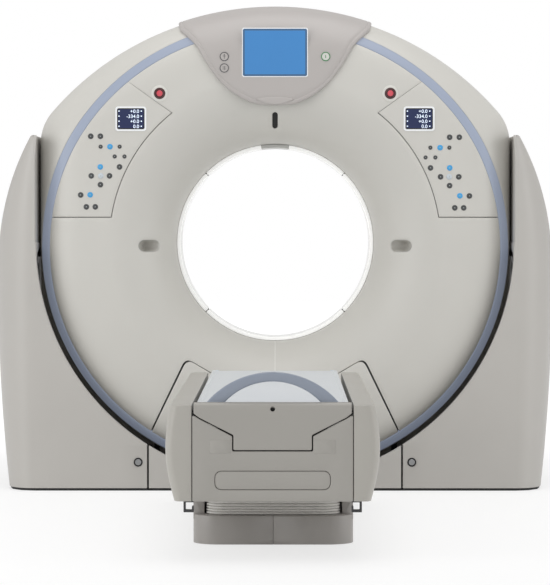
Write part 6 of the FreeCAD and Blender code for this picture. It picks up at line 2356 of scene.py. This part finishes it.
    def base_cover(self) -> Piece:
        """The right half of the base's cover: a rounded tub with a raised side wall beside the bellows.

        Returns:
            The right half.
        """
        bevel, top, half = 5, self.base_top, self.base_half
        steps = ((0, 0), (20, 0), (50, 0), (top - bevel, 0), (top - 1.5, 1.5), (top, bevel))
        rows = []
        for z, inset in steps:
            near, far = self.base_near + inset, self.base_far - inset
            rows.append(level(self.plan(half - inset, near, far, self.base_round - inset, 14), z))
        tub = skin("base_tub", rows, BASE, Origin.COUCH, caps=True)
        inner = half - self.horn
        reach = 0.7 * self.base_round
        start, end = self.base_near + reach, self.base_far - reach
        section = [(inner, top - 20), (half - 0.2, top - 20), (half - 0.2, self.horn_top)]
        section = rounded(section + [(inner, self.horn_top)], 6, 4)
        long = end - start
        steps = ((0, 5), (1.5, 1.5), (5, 0), (long - 5, 0), (long - 1.5, 1.5), (long, 5))
        slabs = [upright(drawn_in(anticlockwise(section), inset), start + y) for y, inset in steps]
        wall = skin("base_wall", slabs, BASE, Origin.COUCH, caps=True)
        keep = block("base_keep", (0.6, -3000, -50), (400, -500, 400), BASE, Origin.COUCH)
        kept_inside(tub, keep)
        return joined("right_base_skin", [tub, wall])

    def build(self) -> None:
        """All of the couch's outer pieces."""
        right = self.side_cover()
        left = mirrored(right, "left_side_skin")
        settle(right, "couch", "couch_cover", "right_side_cover")
        settle(left, "couch", "couch_cover", "left_side_cover")
        self.build_end()
        self.build_top()
        self.build_handle()
        self.build_hooks()
        self.build_bellows()
        base = self.base_cover()
        twin = mirrored(base, "left_base_skin")
        settle(base, "stand", "couch_base", "right_base_cover")
        settle(twin, "stand", "couch_base", "left_base_cover")


# ---- what the covers hide


@dataclass
class HiddenParts:
    """The frame, the rotor and the lift, which keep their own forms and get their finishes."""

    finishes: tuple[tuple[Look, str], ...] = (
        (STEEL, "tilt_frame left_pedestal right_pedestal couch_base_plate couch_frame"),
        # The floor frame's near black is painted shade under the covers.
        (FOOT, "floor_frame"),
        (GROUND, "trunnions main_bearing tilt_bearings rails"),
        (DARK, "brush_block slip_ring runners"),
        (HOUSING, "column_outer column_middle column_inner x_ray_tube collimator high_voltage_generator"),
        (CASTING, "rotor_drum"),
        (FOLDED, "detector heat_exchanger"),
        (IRON, "counterweight"),
        (COUCH, "lower_pan"),
    )

    def build(self, nodes: dict[str, Piece]) -> None:
        """Puts each finish on its node.

        Args:
            nodes: The frame's objects by their nodes' names.
        """
        for finish, names in self.finishes:
            for name in names.split():
                mesh = nodes[name].data
                mesh.materials.clear()
                mesh.materials.append(finish.material())
                log.info("%s dressed", name)


# ---- the studio


@dataclass
class Studio:
    """The floor, the lamps and the camera."""

    lens: float = 181.8
    distance: float = 12.3
    aside: float = 0.035
    eye: float = 1.072
    pitch: float = 1.31
    aimed_before: float = 0.35
    fade: Four = (2.6, 4.4, 0.6, 1.0)
    floor_reach: float = 30.0
    floor_low: float = -0.001
    mirrored_light: float = 0.55
    soft_light: float = 0.64
    lamps: tuple[tuple[str, Three, float, float], ...] = (
        ("key", (-5.6, -4.4, 1.2), 4.0, 116.0),
        ("front", (0.3, -9.4, 1.4), 3.0, 28.0),
        ("fill", (6.2, -3.2, 0.8), 3.6, 72.0),
        ("top", (0.3, -1.4, 5.0), 4.0, 98.0),
    )

    def ground(self) -> None:
        """The pale floor, which the camera sees as near white."""
        material = bpy.data.materials.new("studio floor")
        material.use_nodes = True
        tree = material.node_tree
        shader = tree.nodes["Principled BSDF"]
        feed(tree, shader, {"Base Color": (0.9, 0.9, 0.9, 1), "Roughness": 0.5})
        glow = add_node(tree, "ShaderNodeEmission", {"Strength": 1.1})
        path = tree.nodes.new("ShaderNodeLightPath").outputs
        seen = maths(tree, "MAXIMUM", path["Is Camera Ray"], path["Is Glossy Ray"])
        seen = maths(tree, "MAXIMUM", seen, path["Is Transmission Ray"])
        place = tree.nodes.new("ShaderNodeTexCoord").outputs["Object"]
        distance = add_node(tree, "ShaderNodeVectorMath", {0: place}, operation="LENGTH").outputs["Value"]
        near, far, low_share, high_share = self.fade
        away: Inputs = {"From Min": near, "From Max": far, "Value": distance}
        away |= {"To Min": low_share, "To Max": high_share}
        share = maths(tree, "MULTIPLY", seen, add_node(tree, "ShaderNodeMapRange", away).outputs[0])
        both = {"Fac": share, 1: shader.outputs[0], 2: glow.outputs[0]}
        mixed = add_node(tree, "ShaderNodeMixShader", both)
        feed(tree, tree.nodes["Material Output"], {"Surface": mixed.outputs[0]})
        mesh = bpy.data.meshes.new("studio_floor")
        reach, low = self.floor_reach, self.floor_low
        corners = [(-reach, -reach, low), (reach, -reach, low), (reach, reach, low), (-reach, reach, low)]
        mesh.from_pydata(corners, [], [(0, 1, 2, 3)])
        mesh.materials.append(material)
        floor = linked("studio_floor", mesh)

    def world(self) -> None:
        """A soft light from all round, seen as white by the camera and in reflections."""
        world = bpy.data.worlds.new("studio")
        bpy.context.scene.world = world
        world.use_nodes = True
        tree = world.node_tree
        path = tree.nodes.new("ShaderNodeLightPath").outputs
        seen = maths(tree, "MAXIMUM", path["Is Camera Ray"], path["Is Transmission Ray"])
        glossy = maths(tree, "MULTIPLY", path["Is Glossy Ray"], self.mirrored_light)
        strength = maths(tree, "MAXIMUM", maths(tree, "MAXIMUM", seen, glossy), self.soft_light)
        feed(tree, tree.nodes["Background"], {"Color": (1, 1, 1, 1), "Strength": strength})

    def lamp(self, name: str, place: Three, size: float, power: float) -> None:
        """One square soft lamp that looks at the gantry's middle.

        Args:
            name: Its name.
            place: Its place from the bore's centre, in metres.
            size: Its side's length.
            power: Its power in watts.
        """
        data = bpy.data.lights.new(name, "AREA")
        data.shape = "SQUARE"
        data.size = size
        data.energy = power
        light = linked(name, data)
        centre = place_of(Origin.GANTRY)
        light.location = centre + Vector(place)
        light.rotation_euler = (centre - light.location).to_track_quat("-Z", "Y").to_euler()

    def camera(self) -> None:
        """The camera straight ahead of the bore, a little above its centre."""
        data = bpy.data.cameras.new("camera")
        data.sensor_width = 36
        data.sensor_fit = "AUTO"
        data.lens = self.lens
        data.clip_end = 100
        view = linked("camera", data)
        centre = place_of(Origin.GANTRY)
        view.location = (centre.x + self.aside, centre.y - self.distance, self.eye)
        turn = math.atan(self.aside / (self.distance - self.aimed_before))
        view.rotation_euler = (math.radians(90 - self.pitch), 0, turn)
        bpy.context.scene.camera = view

    def build(self) -> None:
        """Sets the studio up."""
        bpy.context.scene.view_settings.view_transform = "Standard"
        self.ground()
        self.world()
        for name, place, size, power in self.lamps:
            self.lamp(name, place, size, power)
        self.camera()


def main() -> None:
    """Builds and dresses the scanner, then sets the studio."""
    logging.basicConfig(level=logging.INFO, format="%(name)s: %(message)s")
    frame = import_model()
    TiltingCovers().build()
    Console().build()
    ControlPanels().build()
    Bore().build()
    Stands().build()
    Couch().build()
    HiddenParts().build(frame["nodes"])
    Studio().build()
    log.info("all pieces built")


if __name__ == "__main__":
    main()
